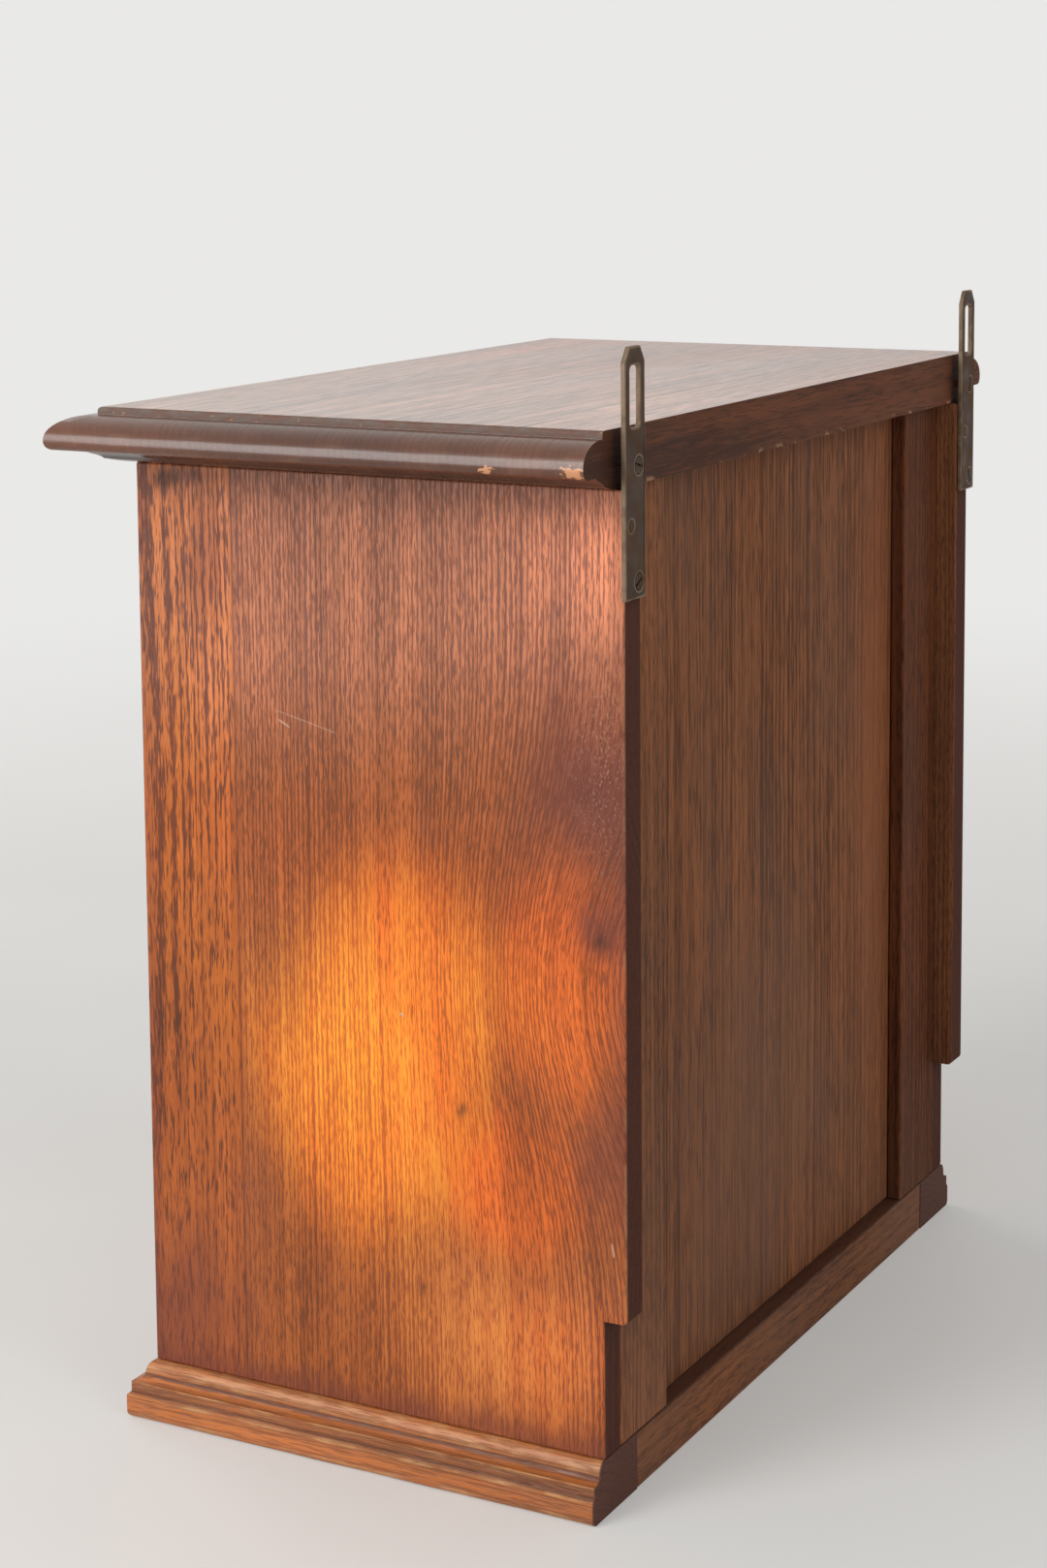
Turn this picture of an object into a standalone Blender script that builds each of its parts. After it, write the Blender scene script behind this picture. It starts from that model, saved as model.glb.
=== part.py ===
"""A small oak wall cabinet with one door, built piece by piece at its real size.

Metres, +Z up. The cabinet faces -Y and its back, +Y, goes against the wall, where it hangs on two
slotted iron plates. The origin is the middle of its outline, on the plane that its base stands on.
"""

import math

import bmesh
import bpy
from mathutils import Matrix, Vector

# Fits and finish
GAP = 0.0003  # between pieces that are seated on each other
RUNNING = 0.0001  # round a hinge pin
EDGE_ROUND = 0.0008  # softened arris of a planed board
EDGE_STEPS = 2
OVERCUT = 0.002  # how far a cutter reaches past the face it opens

# Carcass
CASE_WIDTH = 0.390  # over the outer faces of the sides
CASE_DEPTH = 0.232  # front edge to back edge of a side
SIDE_HEIGHT = 0.400  # base to top board
SIDE_THICKNESS = 0.015
NOTCH_HEIGHT = 0.059  # low step at the back edge of a side
NOTCH_ROUND = 0.0022
BACK_INSET = 0.0104  # back frame, in front of the sides' back edges
BACK_STILE_WIDTH = 0.044
BACK_STILE_THICKNESS = 0.018
PANEL_RECESS = 0.007
BACK_GROOVE_WIDTH = 0.006
BACK_GROOVE_DEPTH = 0.008
FLOOR_THICKNESS = 0.012

# Top board, with its edge worked on three sides
TOP_THICKNESS = 0.024
TOP_OVERHANG = 0.028
TOP_BACK_INSET = 0.0035
TOP_BED_START = 0.0015
TOP_BED_REACH = 0.0178
TOP_BED_HEIGHT = 0.0062
TOP_BED_SAG = 0.0008
TOP_NOSE_ROUND = 0.0023
TOP_NOSE_FACE = 0.003
TOP_QUIRK = 0.001
TOP_FILLET_REACH = 0.0113
TOP_FILLET_HEIGHT = 0.0032
TOP_FILLET_ROUND = 0.0018

# Base frame, moulded on three sides
BASE_HEIGHT = 0.0245
BASE_STRIP_WIDTH = 0.040
BASE_THUMB_REACH = 0.0039
BASE_THUMB_HEIGHT = 0.0058
BASE_COVE_REACH = 0.0045
BASE_COVE_HEIGHT = 0.0028
BASE_FILLET_HEIGHT = 0.0045
BASE_STEP_REACH = 0.0016
BASE_STEP_HEIGHT = 0.0015
BASE_TOE_ROUND = 0.0022

# Stub tenons that hold the sides in the top and the base
STUB_LENGTH = 0.045
STUB_THICKNESS = 0.007
STUB_HEIGHT = 0.010
STUB_ROOT = 0.004
STUB_FROM_FRONT = 0.022
STUB_FROM_BACK = 0.050

# Shelf on two bearers
SHELF_THICKNESS = 0.012
SHELF_HEIGHT = 0.205  # base to the underside of the shelf
SHELF_FRONT_INSET = 0.045
BEARER_WIDTH = 0.014
BEARER_HEIGHT = 0.016
BEARER_END_INSET = 0.012

# Door
DOOR_SIDE_GAP = 0.0015
DOOR_END_GAP = 0.0015
DOOR_SETBACK = 0.001
DOOR_THICKNESS = 0.018
DOOR_STILE_WIDTH = 0.050
DOOR_TOP_RAIL = 0.052
DOOR_BOTTOM_RAIL = 0.060
TENON_LENGTH = 0.030
TENON_THICKNESS = 0.006
TENON_SHOULDER = 0.012
GROOVE_WIDTH = 0.006
GROOVE_DEPTH = 0.008
PANEL_SLACK = 0.0005  # room for the panel to swell in its groove
PANEL_FLAT = 0.002
PANEL_MARGIN = 0.026
PANEL_SETBACK = 0.002  # field of the panel, behind the face of the frame
PANEL_STEP = 0.0014
STOP_GAP = 0.0005
STOP_DEPTH = 0.010
STOP_HEIGHT = 0.008
STOP_LENGTH = 0.300

# Butt hinges
HINGE_HEIGHT = 0.040
HINGE_LEAF_WIDTH = 0.016
HINGE_LEAF_THICKNESS = 0.0015
HINGE_LEAF_GAP = 0.0003
HINGE_BARREL_RADIUS = 0.003
HINGE_PIN_RADIUS = 0.0014
HINGE_PIN_HEAD = 0.0012
HINGE_KNUCKLES = 5
HINGE_FROM_END = 0.070  # end of the door to the middle of a hinge
HINGE_SCREW_SPREAD = 0.012
HINGE_SCREW_STAGGER = 0.0015

# Lock, keeper and escutcheon
LOCK_WIDTH = 0.040
LOCK_HEIGHT = 0.046
LOCK_THICKNESS = 0.010
LOCK_EDGE_INSET = 0.0005
LOCK_LEVEL = 0.198  # base to the middle of the lock
LOCK_SCREW_INSET = 0.005
BOLT_LENGTH = 0.028
BOLT_HEIGHT = 0.009
BOLT_THICKNESS = 0.0045
BOLT_RISE = 0.007  # middle of the bolt, above the middle of the lock
BOLT_THROW = 0.007
BOLT_SPACE = 0.001  # behind the bolt when it is drawn back
TALON_WIDTH = 0.006
TALON_DEPTH = 0.003
KEY_BACKSET = 0.022
KEY_DROP = 0.004  # keyhole, below the middle of the lock
KEY_EYE_RADIUS = 0.0035
KEY_SLOT_WIDTH = 0.0046
KEY_SLOT_DROP = 0.012
KEY_DEPTH = 0.008  # into the lock case
KEEPER_THICKNESS = 0.0012
KEEPER_DEPTH = 0.012
KEEPER_HEIGHT = 0.036
KEEPER_SCREW_SPREAD = 0.012
ESCUTCHEON_WIDTH = 0.020
ESCUTCHEON_HEIGHT = 0.034
ESCUTCHEON_THICKNESS = 0.0012
ESCUTCHEON_EDGE = 0.0005
ESCUTCHEON_PIN_SPREAD = 0.0133

# Knob
KNOB_RISE = 0.062  # above the keyhole
KNOB_ROSE_RADIUS = 0.0105
KNOB_ROSE_THICKNESS = 0.0024
KNOB_NECK_RADIUS = 0.0045
KNOB_NECK_LENGTH = 0.006
KNOB_RADIUS = 0.0105
KNOB_PROUD = 0.023
SPINDLE_RADIUS = 0.0022
NUT_ACROSS_FLATS = 0.008
NUT_THICKNESS = 0.0035
SPINDLE_END = 0.002

# Hanger plates
PLATE_WIDTH = 0.0176
PLATE_THICKNESS = 0.002
PLATE_ABOVE = 0.056  # over the underside of the top board
PLATE_BELOW = 0.044
PLATE_OVERHANG = 0.003  # past the outer face of the side
PLATE_TIP_WIDTH = 0.011
PLATE_TIP_HEIGHT = 0.005
SLOT_WIDTH = 0.009
SLOT_HEIGHT = 0.0245
SLOT_BELOW_TIP = 0.0075
PLATE_FIXING_STAGGER = 0.0034
PLATE_SCREW_RISE = 0.0088  # upper screw, into the edge of the top board
PLATE_NAIL_DROP = 0.0146
PLATE_SCREW_DROP = 0.0374

# Screws, nails and pins: head radius, head height, shank radius, length
HINGE_SCREW = (0.0024, 0.0009, 0.0012, 0.010)
LOCK_SCREW = (0.0026, 0.0014, 0.0013, 0.015)
KEEPER_SCREW = (0.0021, 0.0007, 0.0011, 0.008)
PLATE_SCREW = (0.0034, 0.0016, 0.0018, 0.022)
PLATE_NAIL = (0.0022, 0.0006, 0.0012, 0.024)
BEARER_SCREW = (0.0034, 0.0018, 0.0018, 0.022)
ESCUTCHEON_PIN = (0.0010, 0.0004, 0.0006, 0.006)
HEAD_SUNK = 0.0001
POINT_LENGTH = 1.6  # in shank radii
FASTENER_SIDES = 8
ROUND_SIDES = 16
CURVE_STEPS = 6

# Levels and planes that follow from the sizes above
HALF_WIDTH = CASE_WIDTH / 2
INNER_X = HALF_WIDTH - SIDE_THICKNESS
TOP_UNDER = BASE_HEIGHT + SIDE_HEIGHT
TOP_UPPER = TOP_UNDER + TOP_THICKNESS
BACK_Y = (CASE_DEPTH + TOP_OVERHANG - GAP - PLATE_THICKNESS) / 2
FRONT_Y = BACK_Y - CASE_DEPTH
BACK_FRAME_Y = BACK_Y - BACK_INSET
BACK_FRAME_FRONT_Y = BACK_FRAME_Y - BACK_STILE_THICKNESS
NOTCH_Z = BASE_HEIGHT + NOTCH_HEIGHT
BASE_REACH = BASE_THUMB_REACH + BASE_COVE_REACH + BASE_STEP_REACH
DOOR_LEFT = -INNER_X + DOOR_SIDE_GAP
DOOR_RIGHT = INNER_X - DOOR_SIDE_GAP
DOOR_BOTTOM = BASE_HEIGHT + DOOR_END_GAP
DOOR_TOP = TOP_UNDER - DOOR_END_GAP
DOOR_FACE = FRONT_Y + DOOR_SETBACK
DOOR_BACK = DOOR_FACE + DOOR_THICKNESS
DOOR_MIDDLE = (DOOR_FACE + DOOR_BACK) / 2
HINGE_X = -INNER_X + DOOR_SIDE_GAP / 2
HINGE_Y = FRONT_Y - HINGE_BARREL_RADIUS - GAP
LOCK_Z = BASE_HEIGHT + LOCK_LEVEL
LOCK_FRONT = DOOR_BACK + GAP
LOCK_RIGHT = DOOR_RIGHT - LOCK_EDGE_INSET
LOCK_MIDDLE = LOCK_FRONT + LOCK_THICKNESS / 2
BOLT_Z = LOCK_Z + BOLT_RISE
KEY_X = DOOR_RIGHT - KEY_BACKSET
KEY_Z = LOCK_Z - KEY_DROP
KNOB_Z = KEY_Z + KNOB_RISE
PLATE_FACE = BACK_Y + GAP + PLATE_THICKNESS
SHELF_UNDER = BASE_HEIGHT + SHELF_HEIGHT
SHELF_FRONT = FRONT_Y + SHELF_FRONT_INSET

X_AXIS = Vector((1, 0, 0))
Y_AXIS = Vector((0, 1, 0))
Z_AXIS = Vector((0, 0, 1))


def make_material(name, colour, roughness, metallic=0.0):
    """A plain finish for one kind of piece."""
    material = bpy.data.materials.new(name)
    material.use_nodes = True
    shader = material.node_tree.nodes["Principled BSDF"]
    shader.inputs["Base Color"].default_value = (*colour, 1.0)
    shader.inputs["Roughness"].default_value = roughness
    shader.inputs["Metallic"].default_value = metallic
    material.diffuse_color = (*colour, 1.0)
    return material


def add_empty(name, place):
    """A pivot that moving pieces are parented to."""
    empty = bpy.data.objects.new(name, None)
    empty.location = place
    bpy.context.scene.collection.objects.link(empty)
    return empty


def add_object(name, bm, origin):
    """Turns a bmesh in world places into an object whose origin is at a point."""
    bmesh.ops.recalc_face_normals(bm, faces=bm.faces)
    bmesh.ops.translate(bm, verts=bm.verts, vec=-Vector(origin))
    mesh = bpy.data.meshes.new(name)
    bm.to_mesh(mesh)
    bm.free()
    obj = bpy.data.objects.new(name, mesh)
    obj.location = origin
    bpy.context.scene.collection.objects.link(obj)
    return obj


def add_piece(name, bm, material, origin=(0, 0, 0), pivot=None):
    """One piece of the cabinet, on a pivot if it moves."""
    obj = add_object(name, bm, origin)
    obj.data.materials.append(material)
    obj.data.shade_smooth()
    obj.data.set_sharp_from_angle(angle=math.radians(32))
    if pivot:
        obj.parent = pivot
        obj.location = Vector(origin) - pivot.location
    return obj


def add_helper(name, bm):
    """A hidden solid that a Boolean uses."""
    obj = add_object(name, bm, (0, 0, 0))
    obj.hide_render = True
    obj.display_type = "WIRE"
    return obj


def combine(target, helper, operation):
    """A live Boolean between a piece and a hidden solid."""
    modifier = target.modifiers.new(helper.name, "BOOLEAN")
    modifier.operation = operation
    modifier.solver = "EXACT"
    modifier.object = helper


def cut(helper, *targets):
    for target in targets:
        combine(target, helper, "DIFFERENCE")


def soften(obj, width=EDGE_ROUND):
    """Rounds the arrises of a board a little, as planing and wear do."""
    modifier = obj.modifiers.new("soft_edges", "BEVEL")
    modifier.width = width
    modifier.segments = EDGE_STEPS
    modifier.limit_method = "ANGLE"
    modifier.angle_limit = math.radians(50)


def add_block(bm, low, high):
    """A box between two corners."""
    low, high = Vector(low), Vector(high)
    made = bmesh.ops.create_cube(bm, size=1.0)["verts"]
    bmesh.ops.scale(bm, verts=made, vec=high - low)
    bmesh.ops.translate(bm, verts=made, vec=(low + high) / 2)


def block(low, high):
    bm = bmesh.new()
    add_block(bm, low, high)
    return bm


def board(name, low, high, material, pivot=None):
    """A plain planed board with softened edges and its origin in its middle, or on its pivot."""
    middle = (Vector(low) + Vector(high)) / 2
    origin = pivot.location if pivot else middle
    obj = add_piece(name, block(low, high), material, origin, pivot)
    soften(obj)
    return obj


def add_prism(bm, outline, start, run):
    """A flat outline of points, moved by start and drawn out along run."""
    corners = [bm.verts.new(Vector(point) + start) for point in outline]
    face = bm.faces.new(corners)
    made = bmesh.ops.extrude_face_region(bm, geom=[face])["geom"]
    moved = [v for v in made if isinstance(v, bmesh.types.BMVert)]
    bmesh.ops.translate(bm, verts=moved, vec=run)


def add_loft(bm, loops, flat_side=False):
    """A closed skin through loops of as many points each, with flat ends.

    With flat_side, the stretches from each loop's last point to its first make one flat face.
    """
    rings = [[bm.verts.new(point) for point in loop] for loop in loops]
    count = len(rings[0])
    for lower, upper in zip(rings, rings[1:]):
        for i in range(count - 1 if flat_side else count):
            j = (i + 1) % count
            bm.faces.new((lower[i], lower[j], upper[j], upper[i]))
    if flat_side:
        bm.faces.new([ring[0] for ring in rings] + [ring[-1] for ring in reversed(rings)])
    bm.faces.new(rings[0])
    bm.faces.new(rings[-1])


def add_turned(bm, profile, base, direction, sides=ROUND_SIDES):
    """A turned solid from (distance along, radius) points that start and end on the axis."""
    base, direction = Vector(base), Vector(direction).normalized()
    across = direction.orthogonal().normalized()
    points = [bm.verts.new(base + direction * along + across * radius) for along, radius in profile]
    edges = [bm.edges.new(pair) for pair in zip(points, points[1:])]
    bmesh.ops.spin(
        bm,
        geom=points + edges,
        cent=base,
        axis=direction,
        angle=math.tau,
        steps=sides,
        use_merge=True,
    )
    bmesh.ops.remove_doubles(bm, verts=bm.verts, dist=1e-6)


def add_rod(bm, base, direction, length, radius, sides=ROUND_SIDES):
    """A straight rod whose ends are single flat faces, so that a bore through it cuts cleanly."""
    turn = direction.to_track_quat("Z", "Y").to_matrix().to_4x4()
    place = Matrix.Translation(Vector(base) + direction * length / 2)
    bmesh.ops.create_cone(
        bm,
        cap_ends=True,
        segments=sides,
        radius1=radius,
        radius2=radius,
        depth=length,
        matrix=place @ turn,
    )


def arc(centre, radii, start, end, steps=CURVE_STEPS):
    """Points of an elliptical arc, with its angles in degrees."""
    points = []
    for i in range(steps + 1):
        angle = math.radians(start + (end - start) * i / steps)
        points.append((centre[0] + radii[0] * math.cos(angle), centre[1] + radii[1] * math.sin(angle)))
    return points


def fastener_profile(size, clearance=0.0):
    """A countersunk screw or nail, from its head inwards. With a clearance it is the hole for one."""
    head_radius, head_height, shank_radius, length = size
    head, shank = head_radius + clearance, shank_radius + clearance
    top = -OVERCUT if clearance else HEAD_SUNK
    profile = [(top, 0), (top, head)]
    if clearance:
        profile.append((HEAD_SUNK + clearance / 2, head))
    profile.append((HEAD_SUNK + head_height + clearance, shank))
    profile.append((length - POINT_LENGTH * shank_radius, shank))
    profile.append((length + clearance, 0))
    return profile


def fasteners(size, places, material, targets, pivot=None):
    """Like fasteners, {name: (head centre, direction)}, with holes for them in the targets."""
    solid, holes = bmesh.new(), bmesh.new()
    add_turned(solid, fastener_profile(size), (0, 0, 0), Z_AXIS, FASTENER_SIDES)
    shared = None
    for name, (place, direction) in places.items():
        if shared is None:
            obj = add_piece(name, solid, material)
            shared = obj.data
        else:
            obj = bpy.data.objects.new(name, shared)
            bpy.context.scene.collection.objects.link(obj)
        obj.rotation_euler = direction.to_track_quat("Z", "Y").to_euler()
        obj.parent = pivot
        obj.location = Vector(place) - (pivot.location if pivot else Vector())
        add_turned(holes, fastener_profile(size, GAP), place, direction, FASTENER_SIDES)
    cut(add_helper(next(iter(places)) + "_holes", holes), *targets)


def top_profile():
    """(reach past the side, height over the underside) of the top board's edge, from below."""
    nose_low = TOP_BED_HEIGHT + TOP_NOSE_ROUND
    nose_high = nose_low + TOP_NOSE_FACE
    fillet_low = TOP_THICKNESS - TOP_FILLET_HEIGHT
    ovolo_reach = TOP_FILLET_REACH + TOP_QUIRK
    run = TOP_BED_REACH - TOP_BED_START
    points = []
    for i in range(CURVE_STEPS):
        t = i / CURVE_STEPS
        hollow = 4 * TOP_BED_SAG * t * (1 - t)
        points.append((TOP_BED_START + run * t, TOP_BED_HEIGHT * t - hollow))
    points.append((TOP_BED_REACH, TOP_BED_HEIGHT))
    nose_centre = (TOP_OVERHANG - TOP_NOSE_ROUND, nose_low)
    points += arc(nose_centre, (TOP_NOSE_ROUND, TOP_NOSE_ROUND), -90, 0, steps=3)
    ovolo_size = (TOP_OVERHANG - ovolo_reach, fillet_low - nose_high)
    points += arc((ovolo_reach, nose_high), ovolo_size, 0, 90)
    fillet_centre = (TOP_FILLET_REACH - TOP_FILLET_ROUND, TOP_THICKNESS - TOP_FILLET_ROUND)
    points.append((TOP_FILLET_REACH, fillet_low))
    points += arc(fillet_centre, (TOP_FILLET_ROUND, TOP_FILLET_ROUND), 0, 90, steps=3)
    return points


def make_top_board(finish):
    """One wide board, moulded on the front and both ends and plain at the back."""
    back = BACK_Y - TOP_BACK_INSET
    loops = []
    for reach, height in top_profile():
        x, front, z = HALF_WIDTH + reach, FRONT_Y - reach, TOP_UNDER + height
        loops.append([(-x, back, z), (-x, front, z), (x, front, z), (x, back, z)])
    bm = bmesh.new()
    add_loft(bm, loops, flat_side=True)
    return add_piece("top_board", bm, finish, (0, 0, TOP_UNDER))


def side_outline():
    """(y, z) of a side, with the low step at its back edge and the worn corner over it."""
    low, high = BASE_HEIGHT + GAP, TOP_UNDER - GAP
    corner = (BACK_Y - NOTCH_ROUND, NOTCH_Z + NOTCH_ROUND)
    worn = arc(corner, (NOTCH_ROUND, NOTCH_ROUND), -90, 0, steps=3)
    start = [(FRONT_Y, low), (BACK_FRAME_Y, low), (BACK_FRAME_Y, NOTCH_Z)]
    return start + worn + [(BACK_Y, high), (FRONT_Y, high)]


def make_side(name, outer_x, inner_x, finish):
    bm = bmesh.new()
    outline = [(0, y, z) for y, z in side_outline()]
    add_prism(bm, outline, X_AXIS * outer_x, X_AXIS * (inner_x - outer_x))
    middle = ((outer_x + inner_x) / 2, (FRONT_Y + BACK_Y) / 2, (BASE_HEIGHT + TOP_UNDER) / 2)
    obj = add_piece(name, bm, finish, middle)
    soften(obj)
    return obj


def base_profile():
    """(reach past the side, height) round a base strip, from its inner lower edge outwards."""
    inner = BASE_REACH - BASE_STRIP_WIDTH
    cove_top = BASE_HEIGHT - BASE_THUMB_HEIGHT
    cove_reach = BASE_THUMB_REACH + BASE_COVE_REACH
    fillet_top = cove_top - BASE_COVE_HEIGHT
    step_top = fillet_top - BASE_FILLET_HEIGHT
    toe = (BASE_REACH - BASE_TOE_ROUND, BASE_TOE_ROUND)
    points = [(inner, 0)]
    points += arc(toe, (BASE_TOE_ROUND, BASE_TOE_ROUND), -90, 0, steps=3)
    points += [(BASE_REACH, step_top - BASE_STEP_HEIGHT), (cove_reach, step_top)]
    cove = arc((cove_reach, cove_top), (BASE_COVE_REACH, BASE_COVE_HEIGHT), -90, -180, steps=4)
    thumb = arc((0, cove_top), (BASE_THUMB_REACH, BASE_THUMB_HEIGHT), 0, 90, steps=4)
    points += cove + thumb[1:]
    points.append((inner, BASE_HEIGHT))
    return points


def make_base(finish, rail_finish):
    """Three moulded strips, mitred at the front corners, and a plain rail between them at the back."""
    profile = base_profile()
    mitre = GAP / 2 * math.sqrt(2)
    front, left, right = [], [], []
    for side, strip in ((-1, left), (1, right)):
        corner = [(side * (HALF_WIDTH + d), FRONT_Y - d + mitre, z) for d, z in profile]
        strip += [corner, [(x, BACK_FRAME_Y, z) for x, _, z in corner]]
        front.append([(side * (HALF_WIDTH + d - mitre), FRONT_Y - d, z) for d, z in profile])
    made = []
    for name, loops in (("front", front), ("left", left), ("right", right)):
        bm = bmesh.new()
        add_loft(bm, loops)
        made.append(add_piece(f"base_moulding_{name}", bm, finish, loops[0][0]))
    rail_x = HALF_WIDTH + BASE_REACH - BASE_STRIP_WIDTH - GAP
    low = (-rail_x, BACK_FRAME_Y - BASE_STRIP_WIDTH, 0)
    board("base_back_rail", low, (rail_x, BACK_FRAME_Y, BASE_HEIGHT), rail_finish)
    return made


def make_stub_tenons(top, sides, strips):
    """Short tenons on the ends of the sides, let into the top board and the base strips."""
    sockets = bmesh.new()
    half = STUB_THICKNESS / 2
    starts = (FRONT_Y + STUB_FROM_FRONT, BACK_Y - STUB_FROM_BACK - STUB_LENGTH)
    for side, x in zip(sides, (-HALF_WIDTH + SIDE_THICKNESS / 2, HALF_WIDTH - SIDE_THICKNESS / 2)):
        stubs = bmesh.new()
        for y in starts:
            for low, high in (
                (BASE_HEIGHT - STUB_HEIGHT, BASE_HEIGHT + STUB_ROOT),
                (TOP_UNDER - STUB_ROOT, TOP_UNDER + STUB_HEIGHT),
            ):
                add_block(stubs, (x - half, y, low), (x + half, y + STUB_LENGTH, high))
                lower = (x - half - GAP, y - GAP, low - GAP)
                add_block(sockets, lower, (x + half + GAP, y + STUB_LENGTH + GAP, high + GAP))
        combine(side, add_helper(side.name + "_stubs", stubs), "UNION")
    cut(add_helper("stub_sockets", sockets), top, *strips)


def make_back(finish):
    """Two upright stiles, grooved on their inner edges, and the panel that slides between them."""
    low, high = BASE_HEIGHT + GAP, TOP_UNDER - GAP
    outer, inner = INNER_X - GAP, INNER_X - BACK_STILE_WIDTH
    bottom = inner + BACK_GROOVE_DEPTH
    groove_back = BACK_FRAME_Y - PANEL_RECESS
    groove_front = groove_back - BACK_GROOVE_WIDTH
    outline = [
        (outer, BACK_FRAME_FRONT_Y),
        (outer, BACK_FRAME_Y),
        (inner, BACK_FRAME_Y),
        (inner, groove_back),
        (bottom, groove_back),
        (bottom, groove_front),
        (inner, groove_front),
        (inner, BACK_FRAME_FRONT_Y),
    ]
    for name, side in (("back_stile_left", -1), ("back_stile_right", 1)):
        bm = bmesh.new()
        add_prism(bm, [(side * x, y, 0) for x, y in outline], Z_AXIS * low, Z_AXIS * (high - low))
        soften(add_piece(name, bm, finish, (side * (outer + inner) / 2, BACK_FRAME_Y, low)))
    edge = bottom - PANEL_SLACK
    panel_low = (-edge, groove_front + GAP, low)
    board("back_panel", panel_low, (edge, groove_back - GAP, high), finish)


def make_inside(finish, sides, screw_finish):
    """Floor, shelf, the bearers under it and the strip that the door shuts against."""
    back = BACK_FRAME_FRONT_Y - GAP
    x = INNER_X - GAP
    floor_low = (-x, DOOR_BACK + STOP_GAP, BASE_HEIGHT + GAP)
    board("floor_board", floor_low, (x, back, BASE_HEIGHT + GAP + FLOOR_THICKNESS), finish)
    board("shelf", (-x, SHELF_FRONT, SHELF_UNDER), (x, back, SHELF_UNDER + SHELF_THICKNESS), finish)
    stop_y = DOOR_BACK + STOP_GAP
    stop_top = TOP_UNDER - GAP
    stop_low = (-STOP_LENGTH / 2, stop_y, stop_top - STOP_HEIGHT)
    board("door_stop", stop_low, (STOP_LENGTH / 2, stop_y + STOP_DEPTH, stop_top), finish)
    start, end = SHELF_FRONT + BEARER_END_INSET, back - BEARER_END_INSET
    low, high = SHELF_UNDER - GAP - BEARER_HEIGHT, SHELF_UNDER - GAP
    bearers, screws = [], {}
    ends = (("front", start + (end - start) / 5), ("back", end - (end - start) / 5))
    for hand, side in (("left", -1), ("right", 1)):
        faces = sorted((side * x, side * (x - BEARER_WIDTH)))
        lower, upper = (faces[0], start, low), (faces[1], end, high)
        bearers.append(board(f"shelf_bearer_{hand}", lower, upper, finish))
        for end_name, y in ends:
            head = (side * (x - BEARER_WIDTH), y, (low + high) / 2)
            screws[f"bearer_screw_{hand}_{end_name}"] = (head, X_AXIS * side)
    fasteners(BEARER_SCREW, screws, screw_finish, (*bearers, *sides))


def tenon_span(low, high):
    """Height of the tenon on a rail that runs between two levels."""
    return low + TENON_SHOULDER, high - TENON_SHOULDER


def make_door_frame(finish, pivot):
    """Two stiles and two rails, tenoned together and grooved for the panel."""
    rails = {
        "door_rail_top": (DOOR_TOP - DOOR_TOP_RAIL, DOOR_TOP),
        "door_rail_bottom": (DOOR_BOTTOM, DOOR_BOTTOM + DOOR_BOTTOM_RAIL),
    }
    inner_left, inner_right = DOOR_LEFT + DOOR_STILE_WIDTH, DOOR_RIGHT - DOOR_STILE_WIDTH
    sight_low, sight_high = rails["door_rail_bottom"][1], rails["door_rail_top"][0]
    groove = (DOOR_MIDDLE - GROOVE_WIDTH / 2, DOOR_MIDDLE + GROOVE_WIDTH / 2)
    tenon = (DOOR_MIDDLE - TENON_THICKNESS / 2, DOOR_MIDDLE + TENON_THICKNESS / 2)
    stiles = {}
    spans = (("door_stile_hinge", DOOR_LEFT, inner_left), ("door_stile_lock", inner_right, DOOR_RIGHT))
    for name, left, right in spans:
        corner = (right, DOOR_BACK, DOOR_TOP)
        stiles[name] = board(name, (left, DOOR_FACE, DOOR_BOTTOM), corner, finish, pivot)
        inner, inward = (right, -1) if name == "door_stile_hinge" else (left, 1)
        cuts = bmesh.new()
        ends = sorted((inner - inward * OVERCUT, inner + inward * GROOVE_DEPTH))
        groove_low, groove_high = sight_low - GROOVE_DEPTH, sight_high + GROOVE_DEPTH
        add_block(cuts, (ends[0], groove[0], groove_low), (ends[1], groove[1], groove_high))
        ends = sorted((inner - inward * OVERCUT, inner + inward * (TENON_LENGTH + GAP)))
        for low, high in rails.values():
            base, head = tenon_span(low, high)
            lower = (ends[0], tenon[0] - GAP, base - GAP)
            add_block(cuts, lower, (ends[1], tenon[1] + GAP, head + GAP))
        cut(add_helper(name + "_cuts", cuts), stiles[name])
    for name, (low, high) in rails.items():
        left, right = inner_left + GAP, inner_right - GAP
        rail = board(name, (left, DOOR_FACE, low), (right, DOOR_BACK, high), finish, pivot)
        base, head = tenon_span(low, high)
        reach = TENON_LENGTH - GAP
        tongue = block((left - reach, tenon[0], base), (right + reach, tenon[1], head))
        combine(rail, add_helper(name + "_tenons", tongue), "UNION")
        edge, inward = (low, 1) if name == "door_rail_top" else (high, -1)
        ends = sorted((edge - inward * OVERCUT, edge + inward * GROOVE_DEPTH))
        slot = block((left - OVERCUT, groove[0], ends[0]), (right + OVERCUT, groove[1], ends[1]))
        cut(add_helper(name + "_groove", slot), rail)
    sight = (inner_left, inner_right, sight_low, sight_high)
    return stiles, sight


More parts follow.
